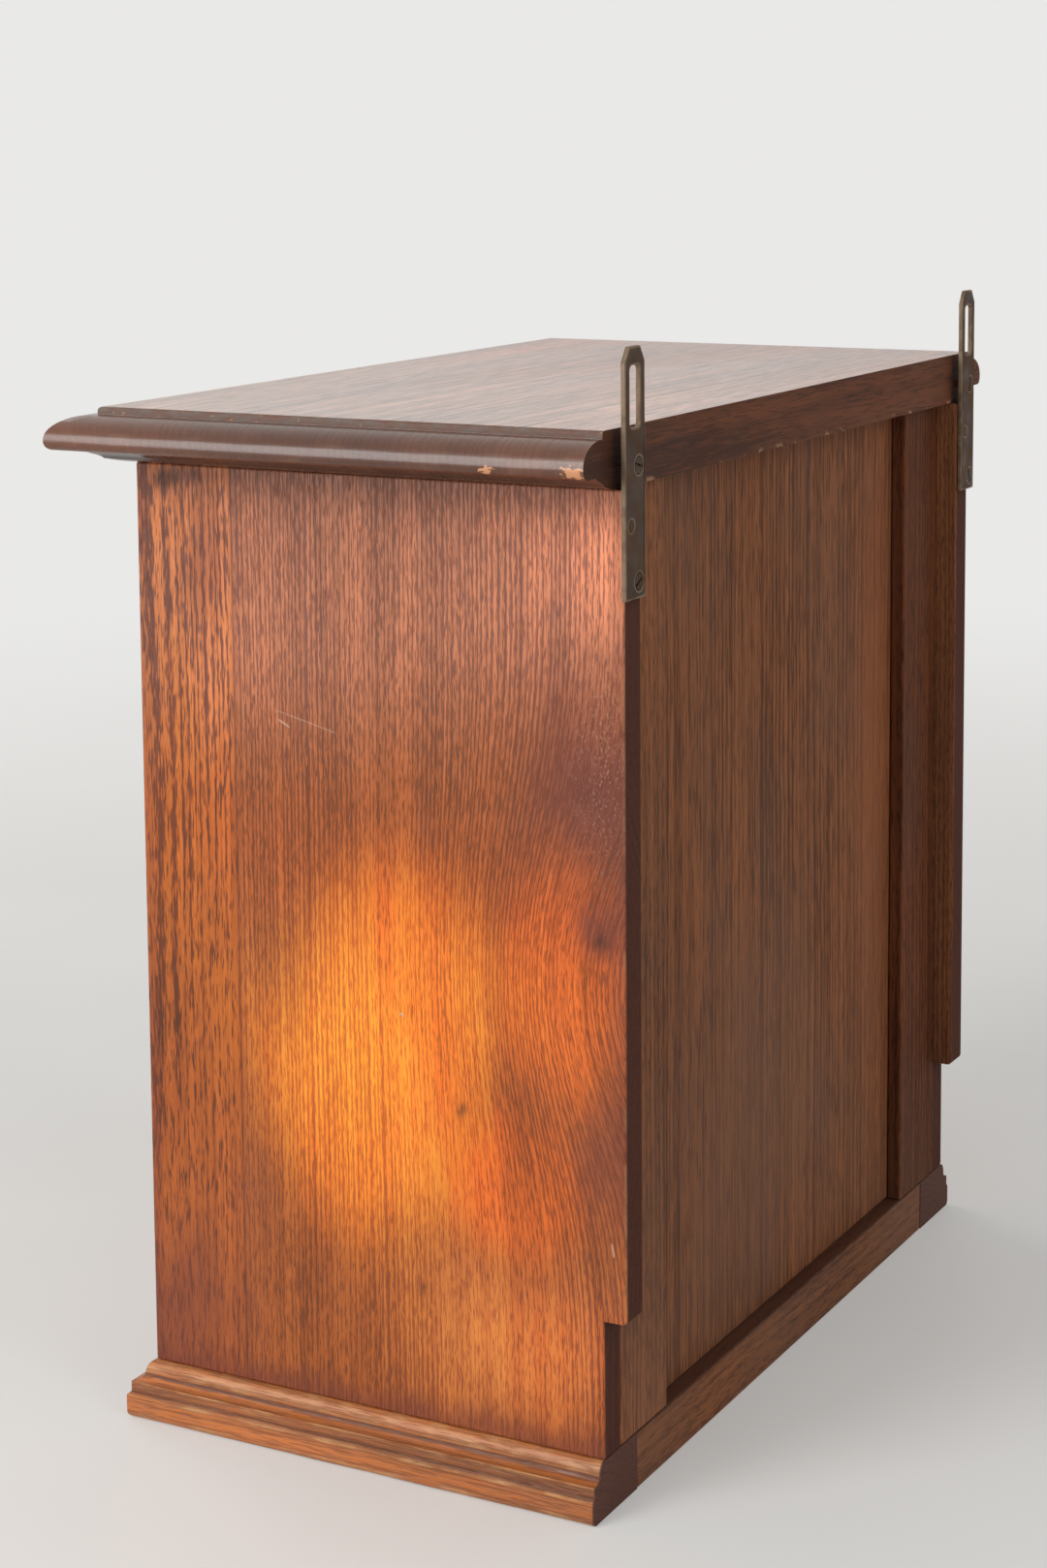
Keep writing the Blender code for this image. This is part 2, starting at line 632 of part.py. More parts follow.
def make_door_panel(finish, pivot, sight):
    """A fielded panel: a thin tongue all round, a sloped margin, and a raised field with a small step."""
    left, right, low, high = sight
    tongue = GROOVE_WIDTH / 2 - GAP
    depth = GROOVE_DEPTH - PANEL_SLACK
    field = DOOR_FACE + PANEL_SETBACK
    stations = (
        (-depth, DOOR_MIDDLE + tongue),
        (-depth, DOOR_MIDDLE - tongue),
        (PANEL_FLAT, DOOR_MIDDLE - tongue),
        (PANEL_FLAT + PANEL_MARGIN, field + PANEL_STEP),
        (PANEL_FLAT + PANEL_MARGIN + GAP, field),
    )
    loops = []
    for inset, y in stations:
        x0, x1, z0, z1 = left + inset, right - inset, low + inset, high - inset
        loops.append([(x0, y, z0), (x1, y, z0), (x1, y, z1), (x0, y, z1)])
    bm = bmesh.new()
    add_loft(bm, loops)
    add_piece("door_panel", bm, finish, pivot.location, pivot)


def knuckle_spans(own, base):
    """(low, high, mine) of each knuckle of a hinge, from the lowest."""
    step = HINGE_HEIGHT / HINGE_KNUCKLES
    spans = []
    for k in range(HINGE_KNUCKLES):
        mine = k % 2 == own
        trim = GAP / 2 if mine else -GAP / 2
        low = base + k * step + (trim if k else 0)
        high = base + (k + 1) * step - (trim if k < HINGE_KNUCKLES - 1 else 0)
        spans.append((low, high, mine))
    return spans


def make_leaf(name, own, side, base, finish, pivot):
    """One leaf: a plate with fingers that run into its own knuckles of the barrel."""
    back = HINGE_Y + HINGE_LEAF_WIDTH
    clear = HINGE_Y + HINGE_BARREL_RADIUS + GAP
    outline = [(0, back, base), (0, back, base + HINGE_HEIGHT)]
    barrels = bmesh.new()
    for low, high, mine in reversed(knuckle_spans(own, base)):
        edge = HINGE_Y if mine else clear
        outline += [(0, edge, high), (0, edge, low)]
        if mine:
            add_rod(barrels, (HINGE_X, HINGE_Y, low), Z_AXIS, high - low, HINGE_BARREL_RADIUS)
    face = HINGE_X + side * HINGE_LEAF_GAP / 2
    bm = bmesh.new()
    add_prism(bm, outline, X_AXIS * face, X_AXIS * side * HINGE_LEAF_THICKNESS)
    leaf = add_piece(name, bm, finish, (HINGE_X, HINGE_Y, base), pivot)
    combine(leaf, add_helper(name + "_barrels", barrels), "UNION")
    return leaf


def hinge_recess(side, base):
    """The shallow recess for a leaf in the edge of the wood on one side of the hinge."""
    sunk = HINGE_X + side * (HINGE_LEAF_GAP / 2 + HINGE_LEAF_THICKNESS + GAP)
    faces = sorted((sunk, HINGE_X))
    low = (faces[0], FRONT_Y - OVERCUT, base - GAP)
    return block(low, (faces[1], HINGE_Y + HINGE_LEAF_WIDTH + GAP, base + HINGE_HEIGHT + GAP))


def make_hinges(finish, screw_finish, pivot, side_left, stile):
    """Two brass butt hinges, a leaf let into the side and one into the door, on a loose pin."""
    places = {1: {}, -1: {}}
    leaves = {1: [], -1: []}
    woods = {1: stile, -1: side_left}
    middles = (("upper", DOOR_TOP - HINGE_FROM_END), ("lower", DOOR_BOTTOM + HINGE_FROM_END))
    for level, middle in middles:
        base = middle - HINGE_HEIGHT / 2
        bore = bmesh.new()
        length = HINGE_HEIGHT + 2 * OVERCUT
        bore_radius = HINGE_PIN_RADIUS + RUNNING
        add_rod(bore, (HINGE_X, HINGE_Y, base - OVERCUT), Z_AXIS, length, bore_radius)
        bore = add_helper(f"hinge_{level}_bore", bore)
        for kind, own, side, holder in (("frame", 0, -1, None), ("door", 1, 1, pivot)):
            leaf = make_leaf(f"hinge_{level}_{kind}_leaf", own, side, base, finish, holder)
            cut(bore, leaf)
            leaves[side].append(leaf)
            cut(add_helper(f"hinge_{level}_{kind}_recess", hinge_recess(side, base)), woods[side])
            face = HINGE_X + side * HINGE_LEAF_GAP / 2
            mid_y = HINGE_Y + (HINGE_BARREL_RADIUS + HINGE_LEAF_WIDTH) / 2
            for number, step in ((1, -1), (2, 1)):
                head = (face, mid_y + step * HINGE_SCREW_STAGGER, middle + step * HINGE_SCREW_SPREAD)
                places[side][f"hinge_{level}_{kind}_screw_{number}"] = (head, X_AXIS * side)
        pin = bmesh.new()
        head = HINGE_BARREL_RADIUS * 0.8
        top = HINGE_HEIGHT + GAP
        profile = [(-GAP - HINGE_PIN_HEAD, 0), (-GAP - HINGE_PIN_HEAD, head * 0.6), (-GAP, head)]
        profile += [(-GAP, HINGE_PIN_RADIUS), (top, HINGE_PIN_RADIUS), (top, head)]
        profile += [(top + HINGE_PIN_HEAD, head * 0.6), (top + HINGE_PIN_HEAD, 0)]
        add_turned(pin, profile, (HINGE_X, HINGE_Y, base), Z_AXIS)
        add_piece(f"hinge_{level}_pin", pin, finish, (HINGE_X, HINGE_Y, base))
    for side, holder in ((-1, None), (1, pivot)):
        fasteners(HINGE_SCREW, places[side], screw_finish, (*leaves[side], woods[side]), holder)


def keyhole_outline():
    """(x, z) of the keyhole: a round eye over a straight slot."""
    half = KEY_SLOT_WIDTH / 2
    opening = math.degrees(math.asin(half / KEY_EYE_RADIUS))
    radii = (KEY_EYE_RADIUS, KEY_EYE_RADIUS)
    eye = arc((KEY_X, KEY_Z), radii, opening - 90, 270 - opening, ROUND_SIDES)
    return eye + [(KEY_X - half, KEY_Z - KEY_SLOT_DROP), (KEY_X + half, KEY_Z - KEY_SLOT_DROP)]


def make_lock(finish, bolt_finish, screw_finish, pivot, stile, side_right):
    """A cupboard lock on the back of the lock stile, its bolt, and the keeper let into the side."""
    low = (LOCK_RIGHT - LOCK_WIDTH, LOCK_FRONT, LOCK_Z - LOCK_HEIGHT / 2)
    high = (LOCK_RIGHT, LOCK_FRONT + LOCK_THICKNESS, LOCK_Z + LOCK_HEIGHT / 2)
    case = board("lock_case", low, high, finish, pivot)
    half_y, half_z = BOLT_THICKNESS / 2, BOLT_HEIGHT / 2
    tail = LOCK_RIGHT - BOLT_LENGTH
    channel = block(
        (tail - BOLT_SPACE, LOCK_MIDDLE - half_y - GAP, BOLT_Z - half_z - GAP),
        (LOCK_RIGHT + OVERCUT, LOCK_MIDDLE + half_y + GAP, BOLT_Z + half_z + GAP),
    )
    cut(add_helper("bolt_channel", channel), case)
    slide = add_empty("lock_bolt_slide", (tail, LOCK_MIDDLE, BOLT_Z))
    corner = (LOCK_RIGHT, LOCK_MIDDLE + half_y, BOLT_Z + half_z)
    bolt = board("lock_bolt", (tail, LOCK_MIDDLE - half_y, BOLT_Z - half_z), corner, bolt_finish, slide)
    slide.parent = pivot
    slide.location -= pivot.location
    talon = block(
        (KEY_X - TALON_WIDTH / 2, LOCK_MIDDLE - BOLT_THICKNESS, BOLT_Z - BOLT_HEIGHT),
        (KEY_X + TALON_WIDTH / 2, LOCK_MIDDLE + BOLT_THICKNESS, BOLT_Z - half_z + TALON_DEPTH),
    )
    cut(add_helper("bolt_talon", talon), bolt)
    places = {}
    for column, x in enumerate((low[0] + LOCK_SCREW_INSET, high[0] - LOCK_SCREW_INSET)):
        for row, z in enumerate((low[2] + LOCK_SCREW_INSET, high[2] - LOCK_SCREW_INSET)):
            places[f"lock_screw_{2 * column + row + 1}"] = ((x, high[1], z), -Y_AXIS)
    fasteners(LOCK_SCREW, places, screw_finish, (case, stile), pivot)
    keeper_half_y, keeper_half_z = KEEPER_DEPTH / 2, KEEPER_HEIGHT / 2
    plate_low = (INNER_X, LOCK_MIDDLE - keeper_half_y, BOLT_Z - keeper_half_z)
    plate_high = (INNER_X + KEEPER_THICKNESS, LOCK_MIDDLE + keeper_half_y, BOLT_Z + keeper_half_z)
    keeper = add_piece("lock_keeper", block(plate_low, plate_high), finish, plate_low)
    seat = block(
        (INNER_X - OVERCUT, plate_low[1] - GAP, plate_low[2] - GAP),
        (INNER_X + KEEPER_THICKNESS + GAP, plate_high[1] + GAP, plate_high[2] + GAP),
    )
    cut(add_helper("keeper_seat", seat), side_right)
    reach = LOCK_RIGHT + BOLT_THROW + BOLT_SPACE
    mortise = block(
        (INNER_X - OVERCUT, LOCK_MIDDLE - half_y - 2 * GAP, BOLT_Z - half_z - 2 * GAP),
        (reach, LOCK_MIDDLE + half_y + 2 * GAP, BOLT_Z + half_z + 2 * GAP),
    )
    cut(add_helper("keeper_mortise", mortise), side_right, keeper)
    places = {}
    for level, rise in (("lower", -KEEPER_SCREW_SPREAD), ("upper", KEEPER_SCREW_SPREAD)):
        places[f"keeper_screw_{level}"] = ((INNER_X, LOCK_MIDDLE, BOLT_Z + rise), X_AXIS)
    fasteners(KEEPER_SCREW, places, screw_finish, (keeper, side_right))
    return case


def make_escutcheon(finish, pivot, stile, case):
    """An oval plate round the keyhole, which runs on through the stile into the lock."""
    back = DOOR_FACE - GAP
    middle_z = KEY_Z - (KEY_SLOT_DROP - KEY_EYE_RADIUS) / 2
    loops = []
    face = back - ESCUTCHEON_THICKNESS
    for inset, y in ((0, back), (0, (back + face) / 2), (ESCUTCHEON_EDGE, face)):
        radii = (ESCUTCHEON_WIDTH / 2 - inset, ESCUTCHEON_HEIGHT / 2 - inset)
        oval = arc((KEY_X, middle_z), radii, 0, 360, steps=24)[:-1]
        loops.append([(x, y, z) for x, z in oval])
    bm = bmesh.new()
    add_loft(bm, loops)
    plate = add_piece("escutcheon", bm, finish, pivot.location, pivot)
    hole = bmesh.new()
    start = face - OVERCUT
    run = LOCK_FRONT + KEY_DEPTH - start
    add_prism(hole, [(x, 0, z) for x, z in keyhole_outline()], Y_AXIS * start, Y_AXIS * run)
    cut(add_helper("keyhole", hole), plate, stile, case)
    places = {}
    for level, rise in (("lower", -ESCUTCHEON_PIN_SPREAD), ("upper", ESCUTCHEON_PIN_SPREAD)):
        places[f"escutcheon_pin_{level}"] = ((KEY_X, face, middle_z + rise), Y_AXIS)
    fasteners(ESCUTCHEON_PIN, places, finish, (plate, stile), pivot)


def make_knob(finish, nut_finish, pivot, stile):
    """A turned knob whose threaded spindle passes through the stile to a nut."""
    base = Vector((KEY_X, DOOR_FACE, KNOB_Z))
    length = DOOR_THICKNESS + GAP + NUT_THICKNESS + SPINDLE_END
    neck_end = KNOB_ROSE_THICKNESS + KNOB_NECK_LENGTH
    swell = (KNOB_PROUD - neck_end) / 2
    start = math.degrees(math.asin(KNOB_NECK_RADIUS / KNOB_RADIUS))
    profile = [(-length, 0), (-length, SPINDLE_RADIUS), (GAP, SPINDLE_RADIUS), (GAP, KNOB_ROSE_RADIUS)]
    profile.append((KNOB_ROSE_THICKNESS * 0.6, KNOB_ROSE_RADIUS))
    profile.append((KNOB_ROSE_THICKNESS, KNOB_ROSE_RADIUS * 0.8))
    profile += [(KNOB_ROSE_THICKNESS, KNOB_NECK_RADIUS)]
    ball = arc((neck_end + swell, 0), (swell, KNOB_RADIUS), 180 - start, 0, steps=10)
    profile += ball[:-1] + [(KNOB_PROUD, 0)]
    bm = bmesh.new()
    add_turned(bm, profile, base, -Y_AXIS, ROUND_SIDES)
    add_piece("door_knob", bm, finish, pivot.location, pivot)
    hole = bmesh.new()
    start_hole = base - Y_AXIS * OVERCUT
    add_rod(hole, start_hole, Y_AXIS, DOOR_THICKNESS + 2 * OVERCUT, SPINDLE_RADIUS + GAP)
    cut(add_helper("spindle_hole", hole), stile)
    nut_base = Vector((KEY_X, DOOR_BACK + GAP, KNOB_Z))
    nut = bmesh.new()
    add_rod(nut, nut_base, Y_AXIS, NUT_THICKNESS, NUT_ACROSS_FLATS / math.sqrt(3), sides=6)
    nut = add_piece("knob_nut", nut, nut_finish, pivot.location, pivot)
    bore = bmesh.new()
    bore_base = nut_base - Y_AXIS * OVERCUT
    add_rod(bore, bore_base, Y_AXIS, NUT_THICKNESS + 2 * OVERCUT, SPINDLE_RADIUS + RUNNING)
    cut(add_helper("nut_bore", bore), nut)


def make_hangers(finish, screw_finish, top, sides):
    """Two iron plates on the sides' back edges, each with a slot over the top board to hang by."""
    low, high = TOP_UNDER - PLATE_BELOW, TOP_UNDER + PLATE_ABOVE
    tip = PLATE_TIP_WIDTH / 2
    half = PLATE_WIDTH / 2
    outline = [(-half, low), (half, low), (half, high - PLATE_TIP_HEIGHT)]
    outline += [(tip, high), (-tip, high), (-half, high - PLATE_TIP_HEIGHT)]
    slot_top = high - SLOT_BELOW_TIP
    radius = SLOT_WIDTH / 2
    ends = (slot_top - radius, slot_top - SLOT_HEIGHT + radius)
    slot = arc((0, ends[0]), (radius, radius), 0, 180) + arc((0, ends[1]), (radius, radius), 180, 360)
    plates, screws, nails = [], {}, {}
    start = Y_AXIS * (BACK_Y + GAP)
    for hand, side in (("left", -1), ("right", 1)):
        name = f"hanger_plate_{hand}"
        x = side * (HALF_WIDTH + PLATE_OVERHANG - half)
        bm = bmesh.new()
        add_prism(bm, [(x + u, 0, z) for u, z in outline], start, Y_AXIS * PLATE_THICKNESS)
        plates.append(add_piece(name, bm, finish, (x, BACK_Y, TOP_UNDER)))
        hole = bmesh.new()
        hole_start = start - Y_AXIS * OVERCUT
        hole_run = Y_AXIS * (PLATE_THICKNESS + 2 * OVERCUT)
        add_prism(hole, [(x + u, 0, z) for u, z in slot], hole_start, hole_run)
        cut(add_helper(name + "_slot", hole), plates[-1])
        for level, rise in (("upper", PLATE_SCREW_RISE), ("lower", -PLATE_SCREW_DROP)):
            head = (x - PLATE_FIXING_STAGGER, PLATE_FACE, TOP_UNDER + rise)
            screws[f"hanger_screw_{hand}_{level}"] = (head, -Y_AXIS)
        head = (x + PLATE_FIXING_STAGGER, PLATE_FACE, TOP_UNDER - PLATE_NAIL_DROP)
        nails[f"hanger_nail_{hand}"] = (head, -Y_AXIS)
    fasteners(PLATE_SCREW, screws, screw_finish, (*plates, top, *sides))
    fasteners(PLATE_NAIL, nails, screw_finish, (*plates, *sides))


def main():
    for obj in list(bpy.data.objects):
        bpy.data.objects.remove(obj, do_unlink=True)
    oak = make_material("oak_varnished", (0.36, 0.14, 0.05), 0.38)
    dark_oak = make_material("oak_dark", (0.14, 0.06, 0.03), 0.34)
    base_oak = make_material("oak_base", (0.32, 0.15, 0.07), 0.42)
    bare_oak = make_material("oak_bare", (0.18, 0.10, 0.06), 0.72)
    brass = make_material("brass_aged", (0.50, 0.36, 0.15), 0.38, 1.0)
    iron = make_material("iron_aged", (0.16, 0.12, 0.09), 0.55, 0.9)
    steel = make_material("steel_dull", (0.30, 0.29, 0.28), 0.45, 1.0)

    top = make_top_board(dark_oak)
    side_left = make_side("side_left", -HALF_WIDTH, -INNER_X, oak)
    side_right = make_side("side_right", HALF_WIDTH, INNER_X, oak)
    sides = (side_left, side_right)
    strips = make_base(base_oak, bare_oak)
    make_stub_tenons(top, sides, strips[1:])
    make_back(bare_oak)
    make_inside(bare_oak, sides, steel)
    make_hangers(iron, iron, top, sides)

    door = add_empty("door_hinge_axis", (HINGE_X, HINGE_Y, DOOR_BOTTOM))
    stiles, sight = make_door_frame(oak, door)
    make_door_panel(oak, door, sight)
    make_hinges(brass, brass, door, side_left, stiles["door_stile_hinge"])
    lock_stile = stiles["door_stile_lock"]
    case = make_lock(iron, steel, steel, door, lock_stile, side_right)
    make_escutcheon(brass, door, lock_stile, case)
    make_knob(brass, steel, door, lock_stile)


main()
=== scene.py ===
"""Finish of a small oak wall cabinet: its mouldings and fittings, its wood and metal, and a plain stage."""

import math

import bmesh
import bpy
from bpy.props import FloatProperty, FloatVectorProperty, IntProperty, PointerProperty
from bpy.types import Operator, Panel, PropertyGroup
from mathutils import Matrix, Vector, noise


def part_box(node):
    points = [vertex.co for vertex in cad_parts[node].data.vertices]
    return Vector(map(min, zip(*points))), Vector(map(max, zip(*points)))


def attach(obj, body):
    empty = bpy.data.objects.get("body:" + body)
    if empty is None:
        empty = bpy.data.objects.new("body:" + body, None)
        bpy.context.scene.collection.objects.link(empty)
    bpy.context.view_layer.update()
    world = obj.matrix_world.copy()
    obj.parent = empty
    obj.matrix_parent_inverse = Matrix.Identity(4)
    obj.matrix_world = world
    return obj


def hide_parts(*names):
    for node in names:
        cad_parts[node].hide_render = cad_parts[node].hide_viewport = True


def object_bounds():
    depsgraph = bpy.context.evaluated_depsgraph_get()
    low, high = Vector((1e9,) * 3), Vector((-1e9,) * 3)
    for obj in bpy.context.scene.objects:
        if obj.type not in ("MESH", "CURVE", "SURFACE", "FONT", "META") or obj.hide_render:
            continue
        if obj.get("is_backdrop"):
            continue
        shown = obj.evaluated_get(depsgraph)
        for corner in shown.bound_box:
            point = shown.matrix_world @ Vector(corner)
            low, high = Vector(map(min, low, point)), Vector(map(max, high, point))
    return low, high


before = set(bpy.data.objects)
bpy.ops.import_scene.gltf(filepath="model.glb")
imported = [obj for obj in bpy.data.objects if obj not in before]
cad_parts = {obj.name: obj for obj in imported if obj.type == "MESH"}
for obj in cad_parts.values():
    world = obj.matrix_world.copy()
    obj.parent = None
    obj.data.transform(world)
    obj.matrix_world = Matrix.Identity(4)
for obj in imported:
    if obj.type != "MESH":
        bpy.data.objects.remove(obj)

bl_info = {
    "name": "Oak wall cabinet finish",
    "version": (1, 0, 0),
    "blender": (4, 5, 0),
    "location": "View3D > Sidebar > Cabinet",
    "description": "Models the mouldings and fittings of an oak wall cabinet and finishes every piece",
    "category": "Object",
}

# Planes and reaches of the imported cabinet
CAD_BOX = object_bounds()
SIDE_LOW, SIDE_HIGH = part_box("side_right")
TOP_LOW, TOP_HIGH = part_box("top_board")
STRIP_LOW, STRIP_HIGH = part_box("base_moulding_right")
HALF_WIDTH = SIDE_HIGH.x
CASE_FRONT, CASE_BACK = SIDE_LOW.y, SIDE_HIGH.y
TOP_OVERHANG = TOP_HIGH.x - HALF_WIDTH
BASE_REACH = STRIP_HIGH.x - HALF_WIDTH
X_AXIS = Vector((1, 0, 0))
Y_AXIS = Vector((0, 1, 0))

# Gap at the mitres of the base and behind the rose of the knob
MITRE_GAP = 0.0002
# Cuts along a moulding, so that wear can bend it
WEAR_CUTS = 40
# A surface that turns by more than this, in degrees, is shaded as an edge
SHARP_ANGLE = 34
# Distance at which two vertices are one, in a finished piece and in one just spun or copied
SAME_POINT, SAME_RAW_POINT = 1e-7, 1e-6
# Height of the rubbed arris over the fillet of the base
ARRIS_HEIGHT = 0.0006
# Waves of wear to a metre, along a moulding and up it
WEAR_ALONG, WEAR_UP = 38, 70
# How far below a face its own finish starts and is full
SKIN_START, SKIN_FULL = 0.0012, 0.0004
END_START, END_FULL = 0.0012, 0.0003

# Parts of a screw, as shares of the radius of its head
HEAD_DEPTH, SHANK_RADIUS, TIP_RADIUS = 0.45, 0.5, 0.05
# Crown of a head without a slot, as shares of its radius, and a slot's depth as a share of the head's
CROWN_MARGIN, CROWN_RISE = 0.45, 0.16
SLOT_DEPTH = 0.6
# Angle of the first screw's slot, and how far each one is turned on from the last, in radians
FIRST_TURN, NEXT_TURN = 0.4, 2.4
# Worn edges of the metal fittings
LEAF_EDGE, PIN_EDGE, LOCK_CASE_EDGE, SMALL_EDGE = 0.00012, 0.00015, 0.0004, 0.0002

# How a pattern whose grain runs along Z is turned for a board
GRAIN_TURN = {"X": (0, math.radians(90), 0), "Y": (math.radians(-90), 0, 0), "Z": (0, 0, 0)}

# Marks of the right side: depth, height, half width, half height, share and falloff of each
SOFT, STEEP = 2.0, 4.0
# Painted light: brighter, warmer patches that stand for a pool of sunlight falling on the right side
SUNLIT_PATCHES = (
    (0.026, 0.205, 0.050, 0.058, 0.85, STEEP),
    (0.006, 0.156, 0.048, 0.058, 0.88, STEEP),
    (-0.046, 0.185, 0.018, 0.028, 0.32, SOFT),
    (-0.085, 0.225, 0.026, 0.035, 0.12, SOFT),
    (0.090, 0.066, 0.044, 0.034, 0.50, SOFT),
    (-0.020, 0.070, 0.100, 0.050, 0.08, SOFT),
    (0.024, 0.066, 0.018, 0.030, 0.10, SOFT),
    (-0.087, 0.305, 0.010, 0.045, 0.18, SOFT),
)
# Painted light: where the painted pool of sunlight is brightest and dullest, the richer rim above it, and
# the cooler, bluer part at its foot
SUNLIT_CORE = (-0.004, 0.172, 0.020, 0.034, 0.90, SOFT)
SUNLIT_DULL_CORE = (0.044, 0.142, 0.024, 0.028, 0.95, SOFT)
SUNLIT_RIM = (0.030, 0.258, 0.095, 0.032, 1.00, SOFT)
SUNLIT_FOOT = (0.085, 0.062, 0.060, 0.040, 0.80, SOFT)
# Painted light: the redder part of the painted pool of sunlight, near the back edge
SUNLIT_EMBERS = (
    (0.102, 0.219, 0.031, 0.054, 0.64, STEEP),
    (0.078, 0.134, 0.036, 0.031, 0.70, STEEP),
)
# Painted highlights: pinker, bluer patches that stand for the gloss of the varnish, by the upper plate and
# low near the back
PAINTED_HIGHLIGHTS = (
    (0.115, 0.398, 0.030, 0.036, 0.90, SOFT),
    (0.100, 0.070, 0.045, 0.035, 0.18, SOFT),
)
RED_SHADES = (
    (0.114, 0.303, 0.032, 0.034, 0.92, SOFT),
    (0.112, 0.342, 0.028, 0.024, 0.25, SOFT),
    (0.118, 0.245, 0.012, 0.012, 0.80, SOFT),
    (0.119, 0.150, 0.018, 0.028, 0.60, SOFT),
    (0.129, 0.225, 0.007, 0.090, 0.55, SOFT),
    (-0.070, 0.058, 0.026, 0.040, 0.45, SOFT),
    (-0.094, 0.050, 0.024, 0.042, 0.65, SOFT),
    (-0.052, 0.112, 0.014, 0.020, 0.32, SOFT),
    (-0.068, 0.385, 0.011, 0.035, 0.50, SOFT),
)
KNOTS = (
    (-0.0910, 0.4165, 0.0045, 0.0045, 0.75, SOFT),
    (-0.0870, 0.4182, 0.0045, 0.0042, 0.75, SOFT),
    (-0.0825, 0.4198, 0.0045, 0.0036, 0.75, SOFT),
    (-0.0725, 0.4205, 0.0026, 0.0032, 0.70, SOFT),
    (0.1171, 0.2418, 0.0034, 0.0030, 0.75, SOFT),
    (0.0532, 0.1627, 0.0018, 0.0034, 0.65, SOFT),
    (0.0340, 0.0821, 0.0018, 0.0026, 0.65, SOFT),
)
# Scratches of the right side: depth and height of both ends, width and share
SCRATCHES = (
    ((-0.0342, 0.3225), (-0.0056, 0.3156), 0.0006, 0.32),
    ((-0.0328, 0.3185), (-0.0280, 0.3160), 0.0007, 0.70),
    ((0.1222, 0.1170), (0.1230, 0.1120), 0.0006, 0.80),
    ((0.0245, 0.1995), (0.0254, 0.1988), 0.0009, 1.00),
)
# Painted glints: pale specks that stand for light caught in the pores of the reddish margin
PAINTED_GLINTS = (0.119, 0.314, 0.012, 0.042, 0.26, SOFT)
# How far the outlines of the patches and of the knots wander
MARK_SWAY, KNOT_SWAY = 0.018, 0.006
# Neither thin varnish nor the painted pool of sunlight is ever brighter than this
BRIGHTEST = (0.95, 0.95, 0.95)
# Painted sheen of the upper half: height where it starts and where it is full, its fall towards the back,
# its share
PAINTED_SHEEN_START, PAINTED_SHEEN_FULL, PAINTED_SHEEN_FALL, PAINTED_SHEEN_SHARE = 0.285, 0.365, -0.15, 0.9
# Knot that the grain of the right side bends round: its depth from the back edge and its height
BEND_DEPTH, BEND_HEIGHT = 0.004, 0.222
# How far the bend spreads along X, Y and Z, and how far it takes the grain
BEND_SPREAD, BEND_REACH = (1, 0.062, 0.074), 0.034
# Front board of each side: its depth, and its tint
STRIP_DEPTH, STRIP_TINT = 0.048, (1.25, 1.15, 0.85)

# Back: where its panel is glued up, and its redder place by the left stile
PANEL_JOINT = -0.0415
PANEL_GLOW_INSET, PANEL_GLOW_HEIGHT, PANEL_GLOW_SPREAD = 0.030, 0.26, (0.024, 1, 0.14)
# Tints of the left stile, darkened as painted shade, and of the paler foot of the right one, and how far
# that foot spreads
SHADED_LEFT_STILE_TINT = (0.58, 0.46, 0.38)
STILE_FOOT_TINT, STILE_FOOT_SPREAD = (1.30, 1.28, 1.26), (0.06, 1, 0.05)

# Lamps: name, width and height, and place
LAMPS = (
    ("key", (1.2, 1.2), (1.67, -0.36, 1.76)),
    ("window", (1.4, 1.9), (2.15, -1.10, 0.92)),
    ("front", (1.4, 1.4), (-0.80, -2.20, 1.30)),
    ("back", (1.6, 1.6), (0.40, 2.20, 1.50)),
)
LAMP_AIM = Vector((0, 0, 0.22))
AMBIENT_COLOUR = (1.0, 0.98, 0.96)
FLOOR_RADIUS = 9.0
# Distances at which the floor starts to fade and has faded into the backdrop, and how faded it starts
FADE_START, FADE_END, FADE_LEAST = 0.35, 2.2, 0.25
# Directions from the cabinet to the camera and to the right of its picture, and its sensor in millimetres
CAMERA_BACK = Vector((0.87446, 0.47011, 0.11966))
CAMERA_RIGHT = Vector((-0.47265, 0.88122, -0.00801))
SENSOR_WIDTH = 36.0


def length_of(name, description, default):
    return FloatProperty(name=name, description=description, default=default, min=0.0, unit="LENGTH")


def colour_of(name, description, default):
    return FloatVectorProperty(
        name=name, description=description, default=default, size=3, min=0.0, max=1.0, subtype="COLOR"
    )


def tint_of(name, description, default):
    return FloatVectorProperty(
        name=name, description=description, default=default, size=3, min=0.0, subtype="XYZ"
    )


def power_of(name, description, default):
    return FloatProperty(name=name, description=description, default=default, min=0.0, unit="POWER")


def share_of(name, description, default):
    return FloatProperty(
        name=name, description=description, default=default, min=0.0, max=1.0, subtype="FACTOR"
    )


class TopSizes(PropertyGroup):
    """Profile of the top board's edge, from below"""

    bed_start: length_of("Bed start", "Plain margin of the underside past the side", 0.0015)
    bed_reach: length_of("Bed reach", "Hollow under the edge, past the side", 0.0178)
    bed_rise: length_of("Bed rise", "Height of the hollow under the edge", 0.0062)
    bed_sag: length_of("Bed sag", "Depth of the hollow below a straight slope", 0.0008)
    bed_step: length_of("Bed step", "Small step half way along the hollow", 0.0008)
    nose_depth: length_of("Nose depth", "Depth of the round under the nose", 0.0034)
    nose_height: length_of("Nose height", "Height of the round under the nose", 0.0038)
    nose_face: length_of("Nose face", "Upright face of the nose", 0.0006)
    quirk: length_of("Quirk", "Step between the round and the fillet", 0.001)
    fillet_reach: length_of("Fillet reach", "Fillet, past the side", 0.0113)
    fillet_rise: length_of("Fillet rise", "Height of the fillet", 0.0032)
    fillet_round: length_of("Fillet round", "Worn upper edge of the fillet", 0.0018)
    waver: length_of("Waver", "How far wear takes the edge in", 0.00035)


